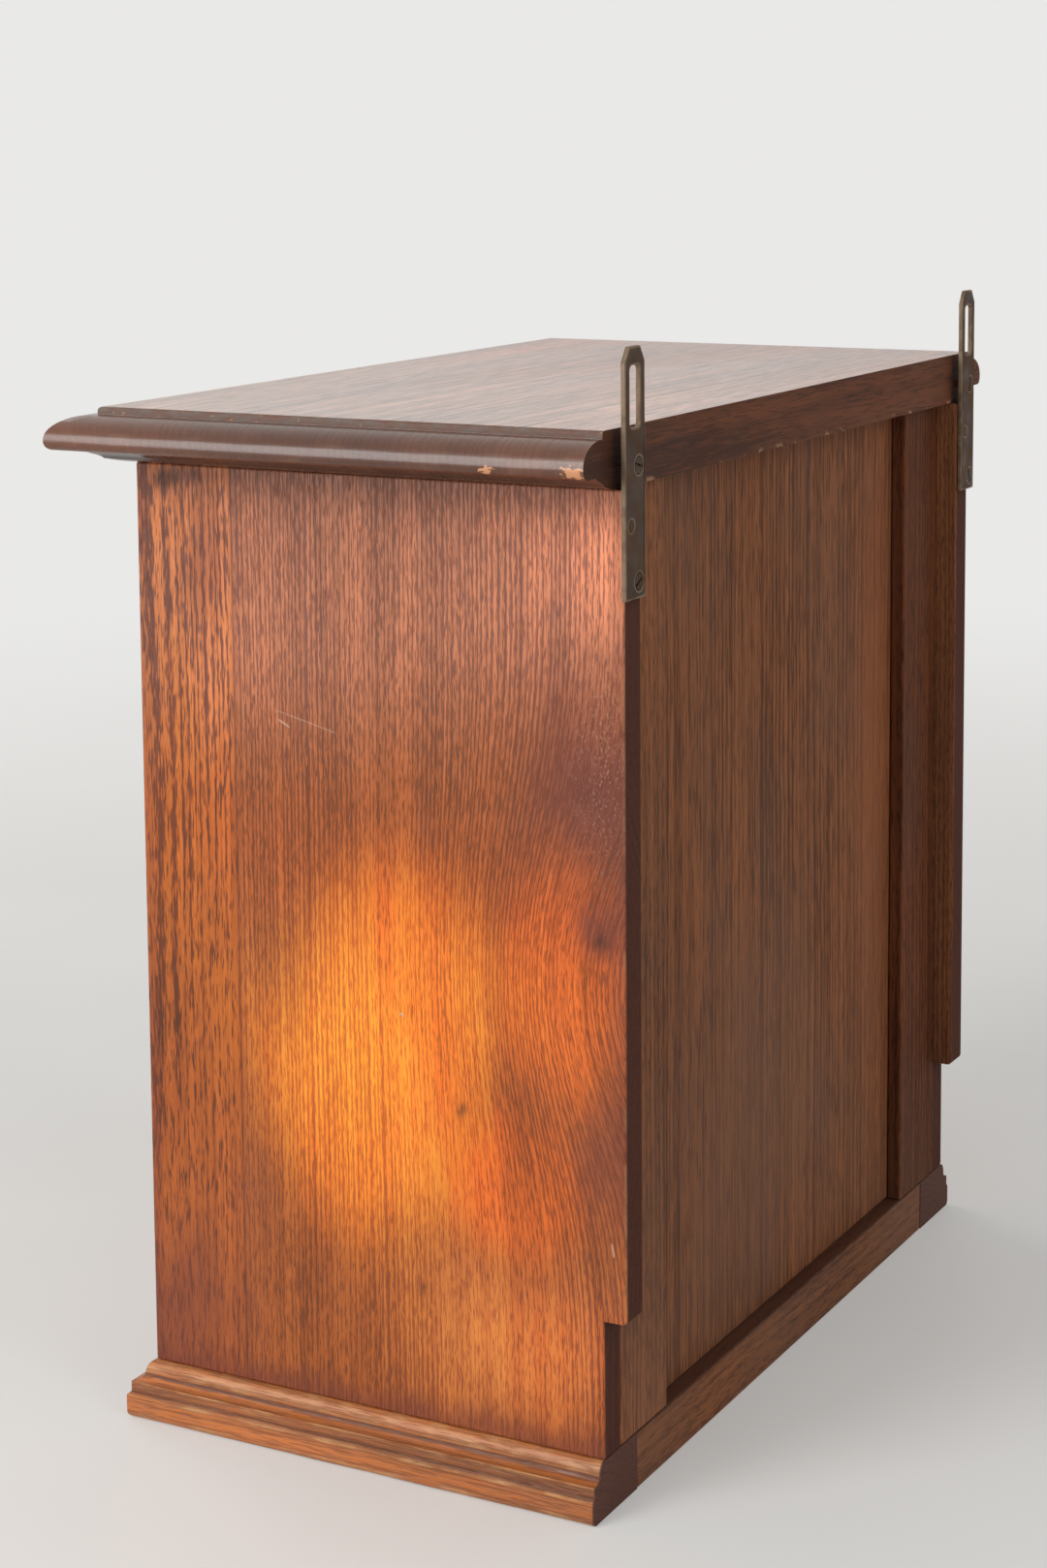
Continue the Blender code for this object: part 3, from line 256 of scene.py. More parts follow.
class BaseSizes(PropertyGroup):
    """Profile of the base moulding, from its toe"""

    thumb_reach: length_of("Thumb reach", "Rounded upper edge, past the side", 0.0039)
    thumb_rise: length_of("Thumb rise", "Height of the rounded upper edge", 0.0058)
    cove_reach: length_of("Cove reach", "Reach of the hollow", 0.0045)
    cove_rise: length_of("Cove rise", "Height of the hollow", 0.0028)
    fillet_rise: length_of("Fillet rise", "Upright face under the hollow", 0.0045)
    step_rise: length_of("Step rise", "Sloped step under the fillet", 0.0015)
    toe_round: length_of("Toe round", "Worn lower edge", 0.0022)
    rub_width: length_of("Rub width", "How far the rubbed arrises reach over the toe", 0.0009)
    waver: length_of("Waver", "How far wear takes the edge in", 0.0005)


class PlateSizes(PropertyGroup):
    """Hanger plates"""

    tip_width: length_of("Tip width", "Width across the flat tip", 0.0095)
    tip_height: length_of("Tip height", "Height of the clipped corners", 0.006)
    slot_width: length_of("Slot width", "Width of the slot to hang by", 0.009)
    slot_height: length_of("Slot height", "Height of the slot to hang by", 0.0245)
    slot_drop: length_of("Slot drop", "Tip to the top of the slot", 0.0075)
    slot_round: length_of("Slot round", "Radius of the slot's corners", 0.0022)
    hole_gap: length_of("Hole gap", "Room round the heads of the screws", 0.00035)
    edge: length_of("Edge", "Worn edge of the plate", 0.00035)
    wear: length_of("Wear", "How far the wear of the edges reaches over the faces", 0.0008)


class KnobSizes(PropertyGroup):
    """Turned knob of the door"""

    rose_radius: length_of("Rose radius", "Radius of the rose at the door", 0.0105)
    rose_rise: length_of("Rose rise", "Thickness of the rose", 0.0024)
    neck_radius: length_of("Neck radius", "Radius of the neck", 0.0045)
    neck_length: length_of("Neck length", "Length of the neck", 0.006)
    knob_radius: length_of("Knob radius", "Radius of the knob", 0.0105)
    spindle_radius: length_of("Spindle radius", "Radius of the spindle through the door", 0.0022)
    sides: IntProperty(name="Sides", description="Facets round the knob", default=48, min=12, max=128)


class KeyholeSizes(PropertyGroup):
    """Escutcheon and keyhole"""

    eye_radius: length_of("Eye radius", "Round eye of the keyhole", 0.0035)
    slot_width: length_of("Slot width", "Width of the slot under the eye", 0.0046)
    slot_drop: length_of("Slot drop", "Middle of the eye to the foot of the slot", 0.012)
    pin_gap: length_of("Pin gap", "Room round the heads of the pins", 0.0001)
    edge: length_of("Edge", "Rounded edge of the plate", 0.0005)


class VarnishedOak(PropertyGroup):
    """Varnish of the sides and the door"""

    pale: colour_of("Pale", "Wood between the pores", (0.354, 0.091, 0.018))
    warm: colour_of("Warm", "Wood in the rings", (0.254, 0.057, 0.011))
    pore: colour_of("Pore", "Dark pores", (0.055, 0.016, 0.008))
    # Painted light: the six tints below paint the pool of sunlight on the right side; the first of them
    # also tints real patches of thin, warm varnish elsewhere
    glow: tint_of("Glow", "How much brighter thin, warm varnish is", (4.0, 3.25, 1.2))
    sunlit_ember: tint_of("Ember", "How much redder thin varnish is near the back", (2.6, 1.9, 0.9))
    core: tint_of("Core", "How much brighter the thinnest varnish is", (1.05, 1.22, 1.12))
    dull: tint_of("Dull", "How much duller the warm patch is towards the back", (0.98, 0.84, 1.0))
    sunlit_rim_tint: tint_of("Rich", "How much redder the varnish is above the warm patch", (1.0, 0.84, 0.64))
    foot: tint_of("Foot", "How much cooler the varnish is near the base", (1.0, 1.0, 1.5))
    # Painted sheen: the next tint greys the upper half of the right side, standing for the gloss of its
    # varnish
    painted_sheen: tint_of("Bloom", "How much greyer the bloomed upper half is", (1.40, 1.90, 4.5))
    # Painted highlight: the next tint makes the pink gloss by the upper plate and low near the back
    painted_highlight: tint_of("Blush", "How much pinker the varnish is by the upper plate", (2.2, 2.9, 7.0))
    shade: colour_of("Shade", "Wood where the varnish is thick and reddish", (0.150, 0.036, 0.022))
    # The next colour also paints the shade just under the top board on the right side
    edge: colour_of("Edge", "Darkened back edges of the sides", (0.072, 0.020, 0.009))
    rubbed: colour_of("Rubbed", "Wood that shows at worn edges", (0.46, 0.250, 0.120))
    scratch: colour_of("Scratch", "Bruised varnish in the scratches", (0.52, 0.36, 0.27))
    roughness: share_of("Roughness", "Roughness of the varnish", 0.36)


class DarkOak(PropertyGroup):
    """Dark varnish of the top board"""

    pale: colour_of("Pale", "Wood between the pores", (0.128, 0.042, 0.018))
    warm: colour_of("Warm", "Wood in the rings", (0.075, 0.024, 0.011))
    pore: colour_of("Pore", "Dark pores", (0.022, 0.010, 0.007))
    rubbed: colour_of("Rubbed", "Wood that shows at worn edges", (0.42, 0.230, 0.120))
    dust: colour_of("Dust", "Grey dust on the fillet", (0.150, 0.118, 0.102))
    chip: colour_of("Chip", "Fresh wood where the edge is chipped", (0.60, 0.275, 0.128))
    # Dust and painted sheen: these two tints make the upper face paler and greyer, most at its right-hand
    # end
    dust_and_sheen_right: tint_of("Dusty", "How much paler the upper face is at its right-hand end", (3.8, 6.3, 9.8))
    dust_and_sheen_left: tint_of("Dim", "How much paler the upper face is at its left-hand end", (2.6, 2.5, 2.2))
    roughness: share_of("Roughness", "Roughness of the varnish", 0.33)


class BaseOak(PropertyGroup):
    """Varnish of the base moulding"""

    pale: colour_of("Pale", "Wood between the pores", (0.45, 0.137, 0.032))
    warm: colour_of("Warm", "Wood in the rings", (0.27, 0.076, 0.021))
    pore: colour_of("Pore", "Dark pores", (0.075, 0.026, 0.014))
    rubbed: colour_of("Rubbed", "Wood that shows at worn edges", (0.62, 0.34, 0.145))
    end: colour_of("End", "Darkened end grain at the back", (0.095, 0.030, 0.016))
    roughness: share_of("Roughness", "Roughness of the varnish", 0.40)


class BareOak(PropertyGroup):
    """Matt, age-darkened wood of the back and the inside"""

    pale: colour_of("Pale", "Wood between the pores", (0.240, 0.089, 0.035))
    warm: colour_of("Warm", "Wood in the rings", (0.175, 0.058, 0.021))
    pore: colour_of("Pore", "Dark pores", (0.055, 0.018, 0.009))
    grey: colour_of("Grey", "Dusty wood", (0.200, 0.095, 0.055))
    glow: colour_of("Glow", "Redder wood", (0.300, 0.095, 0.034))
    rubbed: colour_of("Rubbed", "Wood that shows at worn edges", (0.36, 0.215, 0.130))
    roughness: share_of("Roughness", "Roughness of the bare wood", 0.66)


class MetalColours(PropertyGroup):
    """Brass, iron and steel"""

    brass: colour_of("Brass", "Rubbed brass", (0.560, 0.380, 0.150))
    brass_dull: colour_of("Dull brass", "Tarnish on the brass", (0.150, 0.088, 0.036))
    iron: colour_of("Iron", "Browned iron", (0.085, 0.046, 0.025))
    iron_dark: colour_of("Dark iron", "Scale and dirt on the iron", (0.052, 0.028, 0.016))
    iron_bright: colour_of("Bright iron", "Worn edges of the iron", (0.260, 0.185, 0.125))
    steel: colour_of("Steel", "Dull steel", (0.380, 0.365, 0.345))
    steel_dull: colour_of("Dull steel", "Stains on the steel", (0.150, 0.130, 0.110))


class StageSettings(PropertyGroup):
    """Floor, lights and camera"""

    floor: colour_of("Floor", "Pale floor", (0.74, 0.735, 0.715))
    backdrop: colour_of("Backdrop", "Pale backdrop", (0.82, 0.815, 0.80))
    ambient: FloatProperty(name="Ambient", description="Light from all round", default=0.50, min=0.0)
    key_power: power_of("Key", "Soft lamp above the right side", 9.0)
    window_power: power_of("Window", "Tall soft lamp that the varnish reflects", 35.0)
    front_power: power_of("Front", "Weak lamp at the front", 9.0)
    back_power: power_of("Back", "Weak lamp at the back", 9.0)
    lens: FloatProperty(name="Lens", description="Focal length in millimetres", default=69.29)
    lens_shift: FloatProperty(name="Shift", description="Upward shift of the camera", default=-0.2002)
    camera_place: FloatVectorProperty(
        name="Camera place",
        description="Where the camera stands",
        default=(1.24314, 0.64804, 0.57348),
        subtype="TRANSLATION",
        unit="LENGTH",
    )


class CabinetSettings(PropertyGroup):
    """Everything about the cabinet that a user would change"""

    top: PointerProperty(type=TopSizes)
    base: PointerProperty(type=BaseSizes)
    plate: PointerProperty(type=PlateSizes)
    knob: PointerProperty(type=KnobSizes)
    keyhole: PointerProperty(type=KeyholeSizes)
    varnished_oak: PointerProperty(type=VarnishedOak)
    dark_oak: PointerProperty(type=DarkOak)
    base_oak: PointerProperty(type=BaseOak)
    bare_oak: PointerProperty(type=BareOak)
    metal: PointerProperty(type=MetalColours)
    stage: PointerProperty(type=StageSettings)


class Nodes:
    """Makes the nodes of one tree. Values are sockets, numbers, vectors or colours."""

    def __init__(self, tree):
        self.tree = tree

    def feed(self, socket, value):
        if isinstance(value, bpy.types.NodeSocket):
            self.tree.links.new(value, socket)
        elif socket.type == "RGBA" and len(value) == 3:
            socket.default_value = (*value, 1.0)
        else:
            socket.default_value = value

    def add(self, kind, inputs, **settings):
        node = self.tree.nodes.new(kind)
        for name, value in settings.items():
            setattr(node, name, value)
        for name, value in inputs.items():
            self.feed(node.inputs[name], value)
        return node

    def place(self):
        """Where a point is on the cabinet, in metres."""
        return self.add("ShaderNodeTexCoord", {}).outputs["Object"]

    def turned(self, place, centre, turn):
        """The place seen from a centre, with its axes turned."""
        inputs = {"Vector": place, "Location": centre, "Rotation": turn}
        return self.add("ShaderNodeMapping", inputs, vector_type="TEXTURE").outputs[0]

    def attribute(self, name):
        return self.add("ShaderNodeAttribute", {}, attribute_name=name).outputs["Fac"]

    def math(self, operation, first, second=0.0):
        return self.add("ShaderNodeMath", {0: first, 1: second}, operation=operation).outputs[0]

    def plus(self, first, second):
        return self.math("ADD", first, second)

    def times(self, first, second):
        return self.math("MULTIPLY", first, second)

    def most(self, first, second):
        return self.math("MAXIMUM", first, second)

    def vector(self, operation, first, second=(0, 0, 0)):
        node = self.add("ShaderNodeVectorMath", {0: first, 1: second}, operation=operation)
        return node.outputs["Value" if operation in {"LENGTH", "DISTANCE", "DOT_PRODUCT"} else "Vector"]

    def parts(self, vector):
        return self.add("ShaderNodeSeparateXYZ", {0: vector}).outputs

    def joined(self, x=0.0, y=0.0, z=0.0):
        return self.add("ShaderNodeCombineXYZ", {0: x, 1: y, 2: z}).outputs[0]

    def noise(self, place, scale, detail=2.0, output="Fac"):
        """Soft noise whose features measure one over the scale, along each axis."""
        stretched = self.vector("MULTIPLY", place, scale)
        inputs = {"Vector": stretched, "Scale": 1.0, "Detail": detail, "Roughness": 0.55}
        return self.add("ShaderNodeTexNoise", inputs).outputs[output]

    def sway(self, place, scale, reach):
        """A random offset of up to about half the reach in each direction."""
        centred = self.vector("SUBTRACT", self.noise(place, scale, output="Color"), (0.5, 0.5, 0.5))
        return self.vector("MULTIPLY", centred, (reach, reach, reach))

    def span(self, value, low, high, start=0.0, end=1.0):
        """Takes a value from low to high smoothly to start to end."""
        inputs = {"Value": value, "From Min": low, "From Max": high, "To Min": start, "To Max": end}
        return self.add("ShaderNodeMapRange", inputs, interpolation_type="SMOOTHSTEP").outputs["Result"]

    def ramp(self, value, *stops):
        """A grey value that runs through (position, grey) stops."""
        node = self.add("ShaderNodeValToRGB", {"Fac": value})
        elements = node.color_ramp.elements
        while len(elements) < len(stops):
            elements.new(0.5)
        for element, (position, grey) in zip(elements, stops):
            element.position = position
            element.color = (grey, grey, grey, 1.0)
        return node.outputs["Color"]

    def mix(self, share, first, second, blend="MIX"):
        node = self.add("ShaderNodeMix", {}, data_type="RGBA", blend_type=blend)
        for index, value in ((0, share), (6, first), (7, second)):
            self.feed(node.inputs[index], value)
        return node.outputs[2]

    def tinted(self, colour, tint):
        """A colour times a tint, channel by channel."""
        return self.mix(1.0, colour, tint, "MULTIPLY")

    def toned(self, colour, tone):
        """A colour times one number."""
        return self.tinted(colour, self.joined(tone, tone, tone))

    def lit(self, colour, tint):
        """A colour times a bright tint, held below the brightest varnish."""
        return self.vector("MINIMUM", self.tinted(colour, tint), BRIGHTEST)

    def blob(self, place, centre, spread, falloff=SOFT):
        """1 at a centre, falling to nothing at about twice the spread, or sooner with a steeper falloff."""
        away = self.vector("DIVIDE", self.vector("SUBTRACT", place, centre), spread)
        drop = self.math("POWER", self.vector("LENGTH", away), falloff)
        return self.math("EXPONENT", self.times(drop, -1.0))

    def inward(self, place, low, high):
        """How far inside a board between two corners a place is, along X, Y and Z."""
        away = self.vector("ABSOLUTE", self.vector("SUBTRACT", place, (low + high) / 2))
        return self.parts(self.vector("SUBTRACT", (high - low) / 2, away))

    def edges(self, place, low, high, width):
        """1 along the edges of a board between two corners, 0 away from them."""
        x, y, z = self.inward(place, low, high)
        lower = self.math("MINIMUM", x, y)
        upper = self.math("MINIMUM", self.most(x, y), z)
        return self.span(self.most(lower, upper), 0.0, width, 1.0, 0.0)

    def border(self, place, low, high, start, width, share):
        """Dirt that fades inwards from a frame round an upright board, whose edges are start deep in it."""
        across, _, along = self.inward(place, low, high)
        return self.span(self.math("MINIMUM", across, along), start, start + width, share, 0.0)

    def stroke(self, place, start, end, width):
        """1 on a straight scratch between two points, 0 off it."""
        start, end = Vector(start), Vector(end)
        run = (end - start).length
        along = (end - start) / run
        from_start = self.vector("SUBTRACT", place, start)
        travel = self.vector("DOT_PRODUCT", from_start, along)
        held = self.math("MINIMUM", self.most(travel, 0.0), run)
        foot = self.vector("MULTIPLY", self.joined(held, held, held), along)
        return self.span(self.vector("DISTANCE", from_start, foot), 0.0, width, 1.0, 0.0)


class Finish(Nodes):
    """The nodes of one material, round its main shader."""

    def __init__(self, name):
        self.material = bpy.data.materials.new(name)
        self.material.use_nodes = True
        super().__init__(self.material.node_tree)
        self.shader = self.tree.nodes["Principled BSDF"]

    def bump(self, height, depth, strength):
        inputs = {"Height": height, "Distance": depth, "Strength": strength}
        self.feed(self.shader.inputs["Normal"], self.add("ShaderNodeBump", inputs).outputs["Normal"])

    def finish(
        self, colour, roughness, coat=0.0, coat_roughness=0.2, metallic=0.0, specular=0.5, dust=0.0
    ):
        """The material, with its colour and roughness from nodes and the rest the same all over."""
        values = {
            "Base Color": colour,
            "Roughness": roughness,
            "Coat Weight": coat,
            "Coat Roughness": coat_roughness,
            "Metallic": metallic,
            "Specular IOR Level": specular,
            "Sheen Weight": dust,
        }
        for name, value in values.items():
            self.feed(self.shader.inputs[name], value)
        return self.material


class Cut:
    """How a board was sawn: where the heart of the tree lies across it, and how its rings and pores run."""

    def __init__(self, grain, heart, ring=0.0028, pore=0.0006, fleck=0.008, sway=0.010):
        self.grain = grain
        self.heart = heart
        self.ring = ring
        self.pore = pore
        self.fleck = fleck
        self.sway = sway


TOP_CUT = Cut("X", (0.03, -0.16), ring=0.0032, fleck=0.016)

# Middle and reach of the chips at the right-hand end of the top board's nose
TOP_CHIPS = (
    ((TOP_HIGH.x - 0.002, TOP_HIGH.y - 0.0045, TOP_LOW.z + 0.0088), (0.008, 0.0085, 0.0042)),
    ((TOP_HIGH.x - 0.001, TOP_HIGH.y - 0.0430, TOP_LOW.z + 0.0085), (0.004, 0.0050, 0.0022)),
)

# Grey of a ring from its start to its end, as positions and greys
RING_GREYS = ((0.0, 0.45), (0.12, 1.0), (0.42, 0.20), (0.82, 0.0), (1.0, 0.45))
# How many rings the rings are uneven by, and in how many stretches to a metre
RING_UNEVEN, RING_STRETCHES = 4.0, 70.0
# Shares of the fine and the coarse pores
FINE_SHARE, COARSE_SHARE = 0.62, 0.38


def oak_figure(n, place, cut):
    """Rings, pores and streaks of a board, at a place whose Z runs along the grain."""
    slow = n.sway(place, (9, 9, 2.2), cut.sway)
    bent = n.vector("ADD", place, slow)
    across = n.vector("MULTIPLY", bent, (1, 1, 0))
    radius = n.vector("DISTANCE", across, (*cut.heart, 0))
    uneven = n.noise(n.joined(n.times(radius, RING_STRETCHES)), (1, 1, 1))
    count = n.plus(n.math("DIVIDE", radius, cut.ring), n.times(uneven, RING_UNEVEN))
    early = n.ramp(n.math("FRACT", count), *RING_GREYS)
    clear = n.span(n.noise(place, (18, 18, 3), 1.0), 0.38, 0.62, 0.06, 0.20)
    fine = n.noise(bent, (1 / cut.pore, 1 / cut.pore, 1 / cut.fleck), 1.0)
    coarse = n.noise(bent, (0.4 / cut.pore, 0.4 / cut.pore, 0.6 / cut.fleck), 2.0)
    mingled = n.plus(n.times(fine, FINE_SHARE), n.times(coarse, COARSE_SHARE))
    pores = n.span(n.plus(mingled, n.times(early, clear)), 0.51, 0.64)
    streak = n.noise(bent, (190, 190, 5), 3.0)
    cloud = n.noise(place, (16, 16, 7), 3.0)
    return {"early": early, "pores": pores, "streak": streak, "cloud": cloud}


def oak_colour(n, figure, colours, rings, pores):
    """The colour of a board from its figure, with how strongly its rings and its pores show."""
    wood = n.mix(n.times(figure["early"], rings), colours.pale, colours.warm)
    wood = n.mix(n.times(figure["pores"], pores), wood, colours.pore)
    wood = n.toned(wood, n.span(figure["streak"], 0.3, 0.7, 0.80, 1.18))
    return n.toned(wood, n.span(figure["cloud"], 0.3, 0.72, 0.84, 1.14))


def board_place(n, low, high, cut, shift):
    """The place on a board, from its middle, turned so that Z runs along the grain."""
    middle = (low + high) / 2
    turned = n.turned(n.place(), middle, GRAIN_TURN[cut.grain])
    return n.vector("ADD", turned, (0, 0, shift))


def worn_edges(n, low, high, width, share):
    """Rubbed stretches along the edges of a board."""
    place = n.place()
    patchy = n.span(n.noise(place, (90, 90, 90), 3.0), 0.46, 0.66)
    edge = n.edges(place, low, high, width)
    return n.times(n.times(edge, patchy), share)


def grain_bump(n, figure, depth, share=1.0):
    """Open pores and a slightly uneven surface, with a share of the pores left open."""
    pits = n.times(n.times(figure["pores"], -1.0), share)
    height = n.plus(pits, n.times(figure["cloud"], 0.6))
    streaks = n.times(n.times(figure["streak"], 0.5), share)
    n.bump(n.plus(height, streaks), depth, 0.6)


def varnish_gloss(n, figure, roughness):
    """Varnish that is duller in the pores and in patches."""
    patch = n.span(figure["cloud"], 0.25, 0.75, roughness * 0.86, roughness * 1.2)
    return n.plus(patch, n.times(figure["pores"], 0.14))


def bare_board(name, node, cut, colours, shift):
    """Matt wood of one board of the back or the inside."""
    low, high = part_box(node)
    n = Finish(name)
    place = board_place(n, low, high, cut, shift)
    figure = oak_figure(n, place, cut)
    wood = oak_colour(n, figure, colours, rings=0.7, pores=0.72)
    dust = n.span(n.noise(n.place(), (7, 7, 4), 2.0), 0.42, 0.72, 0.0, 0.50)
    wood = n.mix(dust, wood, colours.grey)
    wood = n.mix(worn_edges(n, low, high, width=0.0018, share=0.3), wood, colours.rubbed)
    grain_bump(n, figure, depth=0.00025)
    return n, figure, wood


def varnished_board(name, node, cut, colours, shift, rings=0.6, pores=0.55):
    """Varnished wood of one board, before its own marks."""
    low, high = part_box(node)
    n = Finish(name)
    place = board_place(n, low, high, cut, shift)
    figure = oak_figure(n, place, cut)
    wood = oak_colour(n, figure, colours, rings, pores)
    return n, figure, wood


def put_on(node, material):
    """Gives a CAD piece its finish."""
    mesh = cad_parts[node].data
    mesh.materials.clear()
    mesh.materials.append(material)


def add_piece(name, bm, material, body, slot, nodes):
    """Makes a mesh a piece of the cabinet that stands for CAD pieces."""
    bmesh.ops.remove_doubles(bm, verts=bm.verts, dist=SAME_POINT)
    bmesh.ops.recalc_face_normals(bm, faces=bm.faces)
    if bm.calc_volume(signed=True) < 0:
        bmesh.ops.reverse_faces(bm, faces=bm.faces)
    mesh = bpy.data.meshes.new(name)
    bm.to_mesh(mesh)
    bm.free()
    mesh.shade_smooth()
    mesh.set_sharp_from_angle(angle=math.radians(SHARP_ANGLE))
    mesh.materials.append(material)
    obj = bpy.data.objects.new(name, mesh)
    bpy.context.scene.collection.objects.link(obj)
    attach(obj, body)
    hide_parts(*nodes)
    return obj


def arc(centre, radii, start, end, steps):
    """Points of an elliptical arc, with its angles in degrees."""
    angles = [math.radians(start + (end - start) * i / steps) for i in range(steps + 1)]
    return [(centre[0] + radii[0] * math.cos(a), centre[1] + radii[1] * math.sin(a)) for a in angles]


def add_loop(bm, points):
    """A closed loop of edges through points."""
    verts = [bm.verts.new(point) for point in points]
    return [bm.edges.new(pair) for pair in zip(verts, verts[1:] + verts[:1])]


def add_sweep(bm, profile, stations, closed):
    """Draws a profile of (reach, rise, rub, dirt) points through stations, which take a reach to (x, y).

    The points carry how rubbed and how darkened they are. The rows of vertices at the stations come back,
    and the edges that run between them.
    """
    step = bm.verts.layers.int.new("profile_step")
    rub, dirt = bm.verts.layers.float.new("rub"), bm.verts.layers.float.new("dirt")
    row = []
    for index, (reach, rise, rubbed, darkened) in enumerate(profile):
        vert = bm.verts.new((*stations[0](reach), rise))
        vert[step], vert[rub], vert[dirt] = index, rubbed, darkened
        row.append(vert)
    pairs = zip(row, row[1:] + row[:1]) if closed else zip(row, row[1:])
    edges = [bm.edges.new(pair) for pair in pairs]
    rows = [row]
    for station in stations[1:]:
        made = bmesh.ops.extrude_edge_only(bm, edges=edges)["geom"]
        edges = [e for e in made if isinstance(e, bmesh.types.BMEdge) and e.is_boundary]
        row = sorted((v for v in made if isinstance(v, bmesh.types.BMVert)), key=lambda v: v[step])
        edges = [e for e in edges if all(v in row for v in e.verts)]
        for vert in row:
            vert.co.x, vert.co.y = station(profile[vert[step]][0])
        rows.append(row)
    lengths = [e for e in bm.edges if len({v[step] for v in e.verts}) == 1]
    return rows, lengths


def wear_in(bm, size):
    """Takes the moulded edges in by a little, more here and less there."""
    for vert in bm.verts:
        for axis, past in ((0, abs(vert.co.x) - HALF_WIDTH), (1, CASE_FRONT - vert.co.y)):
            if past > 0:
                wave = Vector((vert.co[1 - axis] * WEAR_ALONG, vert.co.z * WEAR_UP, axis))
                amount = 0.5 + 0.5 * noise.noise(wave)
                vert.co[axis] -= math.copysign(size * amount, vert.co[axis])


def top_profile(sizes):
    """(reach, rise, rub, darkening) of the top board's edge, from below; the darkening is painted shade."""
    thickness = TOP_HIGH.z - TOP_LOW.z
    nose_low = sizes.bed_rise + sizes.nose_height
    nose_high = nose_low + sizes.nose_face
    fillet_low = thickness - sizes.fillet_rise
    round_reach = sizes.fillet_reach + sizes.quirk
    points = []
    steps = 8
    for i in range(steps):
        t = i / steps
        reach = sizes.bed_start + (sizes.bed_reach - sizes.bed_start) * t
        rise = (sizes.bed_rise - sizes.bed_step) * t - 4 * sizes.bed_sag * t * (1 - t)
        points.append((reach, rise + sizes.bed_step * (2 * i > steps), 0.0, 0.9))
        if 2 * i == steps:
            points.append((reach + sizes.bed_step, rise + sizes.bed_step, 0.0, 0.9))
    points.append((sizes.bed_reach, sizes.bed_rise, 0.0, 1.0))
    nose = (TOP_OVERHANG - sizes.nose_depth, nose_low)
    for i, (reach, rise) in enumerate(arc(nose, (sizes.nose_depth, sizes.nose_height), -90, 0, 10)):
        points.append((reach, rise, 0.45, 0.5 * (i < 3)))
    round_size = (TOP_OVERHANG - round_reach, fillet_low - nose_high)
    swell = arc((round_reach, nose_high), round_size, 0, 90, 20)
    for i, (reach, rise) in enumerate(swell):
        points.append((reach, rise, 0.15 + 0.25 * (i < 6), 0.75 * (i > 18)))
    points.append((sizes.fillet_reach, fillet_low, 0.0, 1.0))
    crown = (sizes.fillet_reach - sizes.fillet_round, thickness - sizes.fillet_round)
    for reach, rise in arc(crown, (sizes.fillet_round, sizes.fillet_round), 0, 90, 6):
        points.append((reach, rise, 0.3, 0.5))
    points.append((crown[0] - sizes.fillet_round, thickness, 0.0, 0.0))
    return points


def build_top_board(settings):
    """The top board, moulded on its front and both ends, with edges that wear has taken in a little."""
    under, back = TOP_LOW.z, TOP_HIGH.y
    profile = [(reach, under + rise, rub, dirt) for reach, rise, rub, dirt in top_profile(settings.top)]
    stations = (
        lambda reach: (-HALF_WIDTH - reach, back),
        lambda reach: (-HALF_WIDTH - reach, CASE_FRONT - reach),
        lambda reach: (HALF_WIDTH + reach, CASE_FRONT - reach),
        lambda reach: (HALF_WIDTH + reach, back),
    )
    bm = bmesh.new()
    rows, lengths = add_sweep(bm, profile, stations, closed=False)
    bmesh.ops.contextual_create(bm, geom=[row[-1] for row in rows])
    bmesh.ops.contextual_create(bm, geom=[row[0] for row in rows])
    bmesh.ops.holes_fill(bm, edges=bm.edges)
    bmesh.ops.subdivide_edges(bm, edges=lengths, cuts=WEAR_CUTS)
    wear_in(bm, settings.top.waver)
    material = top_board_finish(settings.dark_oak)
    board = add_piece("top_board_moulded", bm, material, "carcass", "oak_dark", ["top_board"])
    for finish in (top_face_finish, top_fillet_finish, top_back_finish):
        board.data.materials.append(finish(settings.dark_oak))
    upper_face, fillet, back_face = 1, 2, 3
    fillet_low = TOP_HIGH.z - settings.top.fillet_rise
    for face in board.data.polygons:
        if face.normal.y > 0.9:
            face.material_index = back_face
        elif face.center.z > fillet_low:
            face.material_index = upper_face if face.normal.z > 0.97 else fillet


def base_profile(sizes):
    """(reach, rise, rub, dirt) round a base strip, from its inner lower edge outwards."""
    inner = STRIP_LOW.x - HALF_WIDTH
    height = STRIP_HIGH.z
    cove_top = height - sizes.thumb_rise
    cove_reach = sizes.thumb_reach + sizes.cove_reach
    fillet_top = cove_top - sizes.cove_rise
    step_top = fillet_top - sizes.fillet_rise
    toe = (BASE_REACH - sizes.toe_round, sizes.toe_round)
    points = [(inner, 0, 0.0, 0.5)]
    for reach, rise in arc(toe, (sizes.toe_round, sizes.toe_round), -90, 0, 6):
        points.append((reach, rise, 0.6, 0.2))
    arris = step_top - sizes.step_rise
    points.append((BASE_REACH, sizes.toe_round + sizes.rub_width, 0.0, 0.0))
    points.append((BASE_REACH, arris - sizes.rub_width, 0.0, 0.0))
    points.append((BASE_REACH, arris, 0.8, 0.0))
    points.append((cove_reach, step_top, 0.0, 0.8))
    points.append((cove_reach, fillet_top - ARRIS_HEIGHT, 0.25, 0.0))
    cove = arc((cove_reach, cove_top), (sizes.cove_reach, sizes.cove_rise), -90, -180, 10)
    for i, (reach, rise) in enumerate(cove):
        points.append((reach, rise, 0.9 * (i == 0), 0.9 * (i > 7)))
    for reach, rise in arc((0, cove_top), (sizes.thumb_reach, sizes.thumb_rise), 0, 90, 10)[1:]:
        points.append((reach, rise, 0.4, 0.0))
    points.append((inner, height, 0.0, 0.0))
    return points


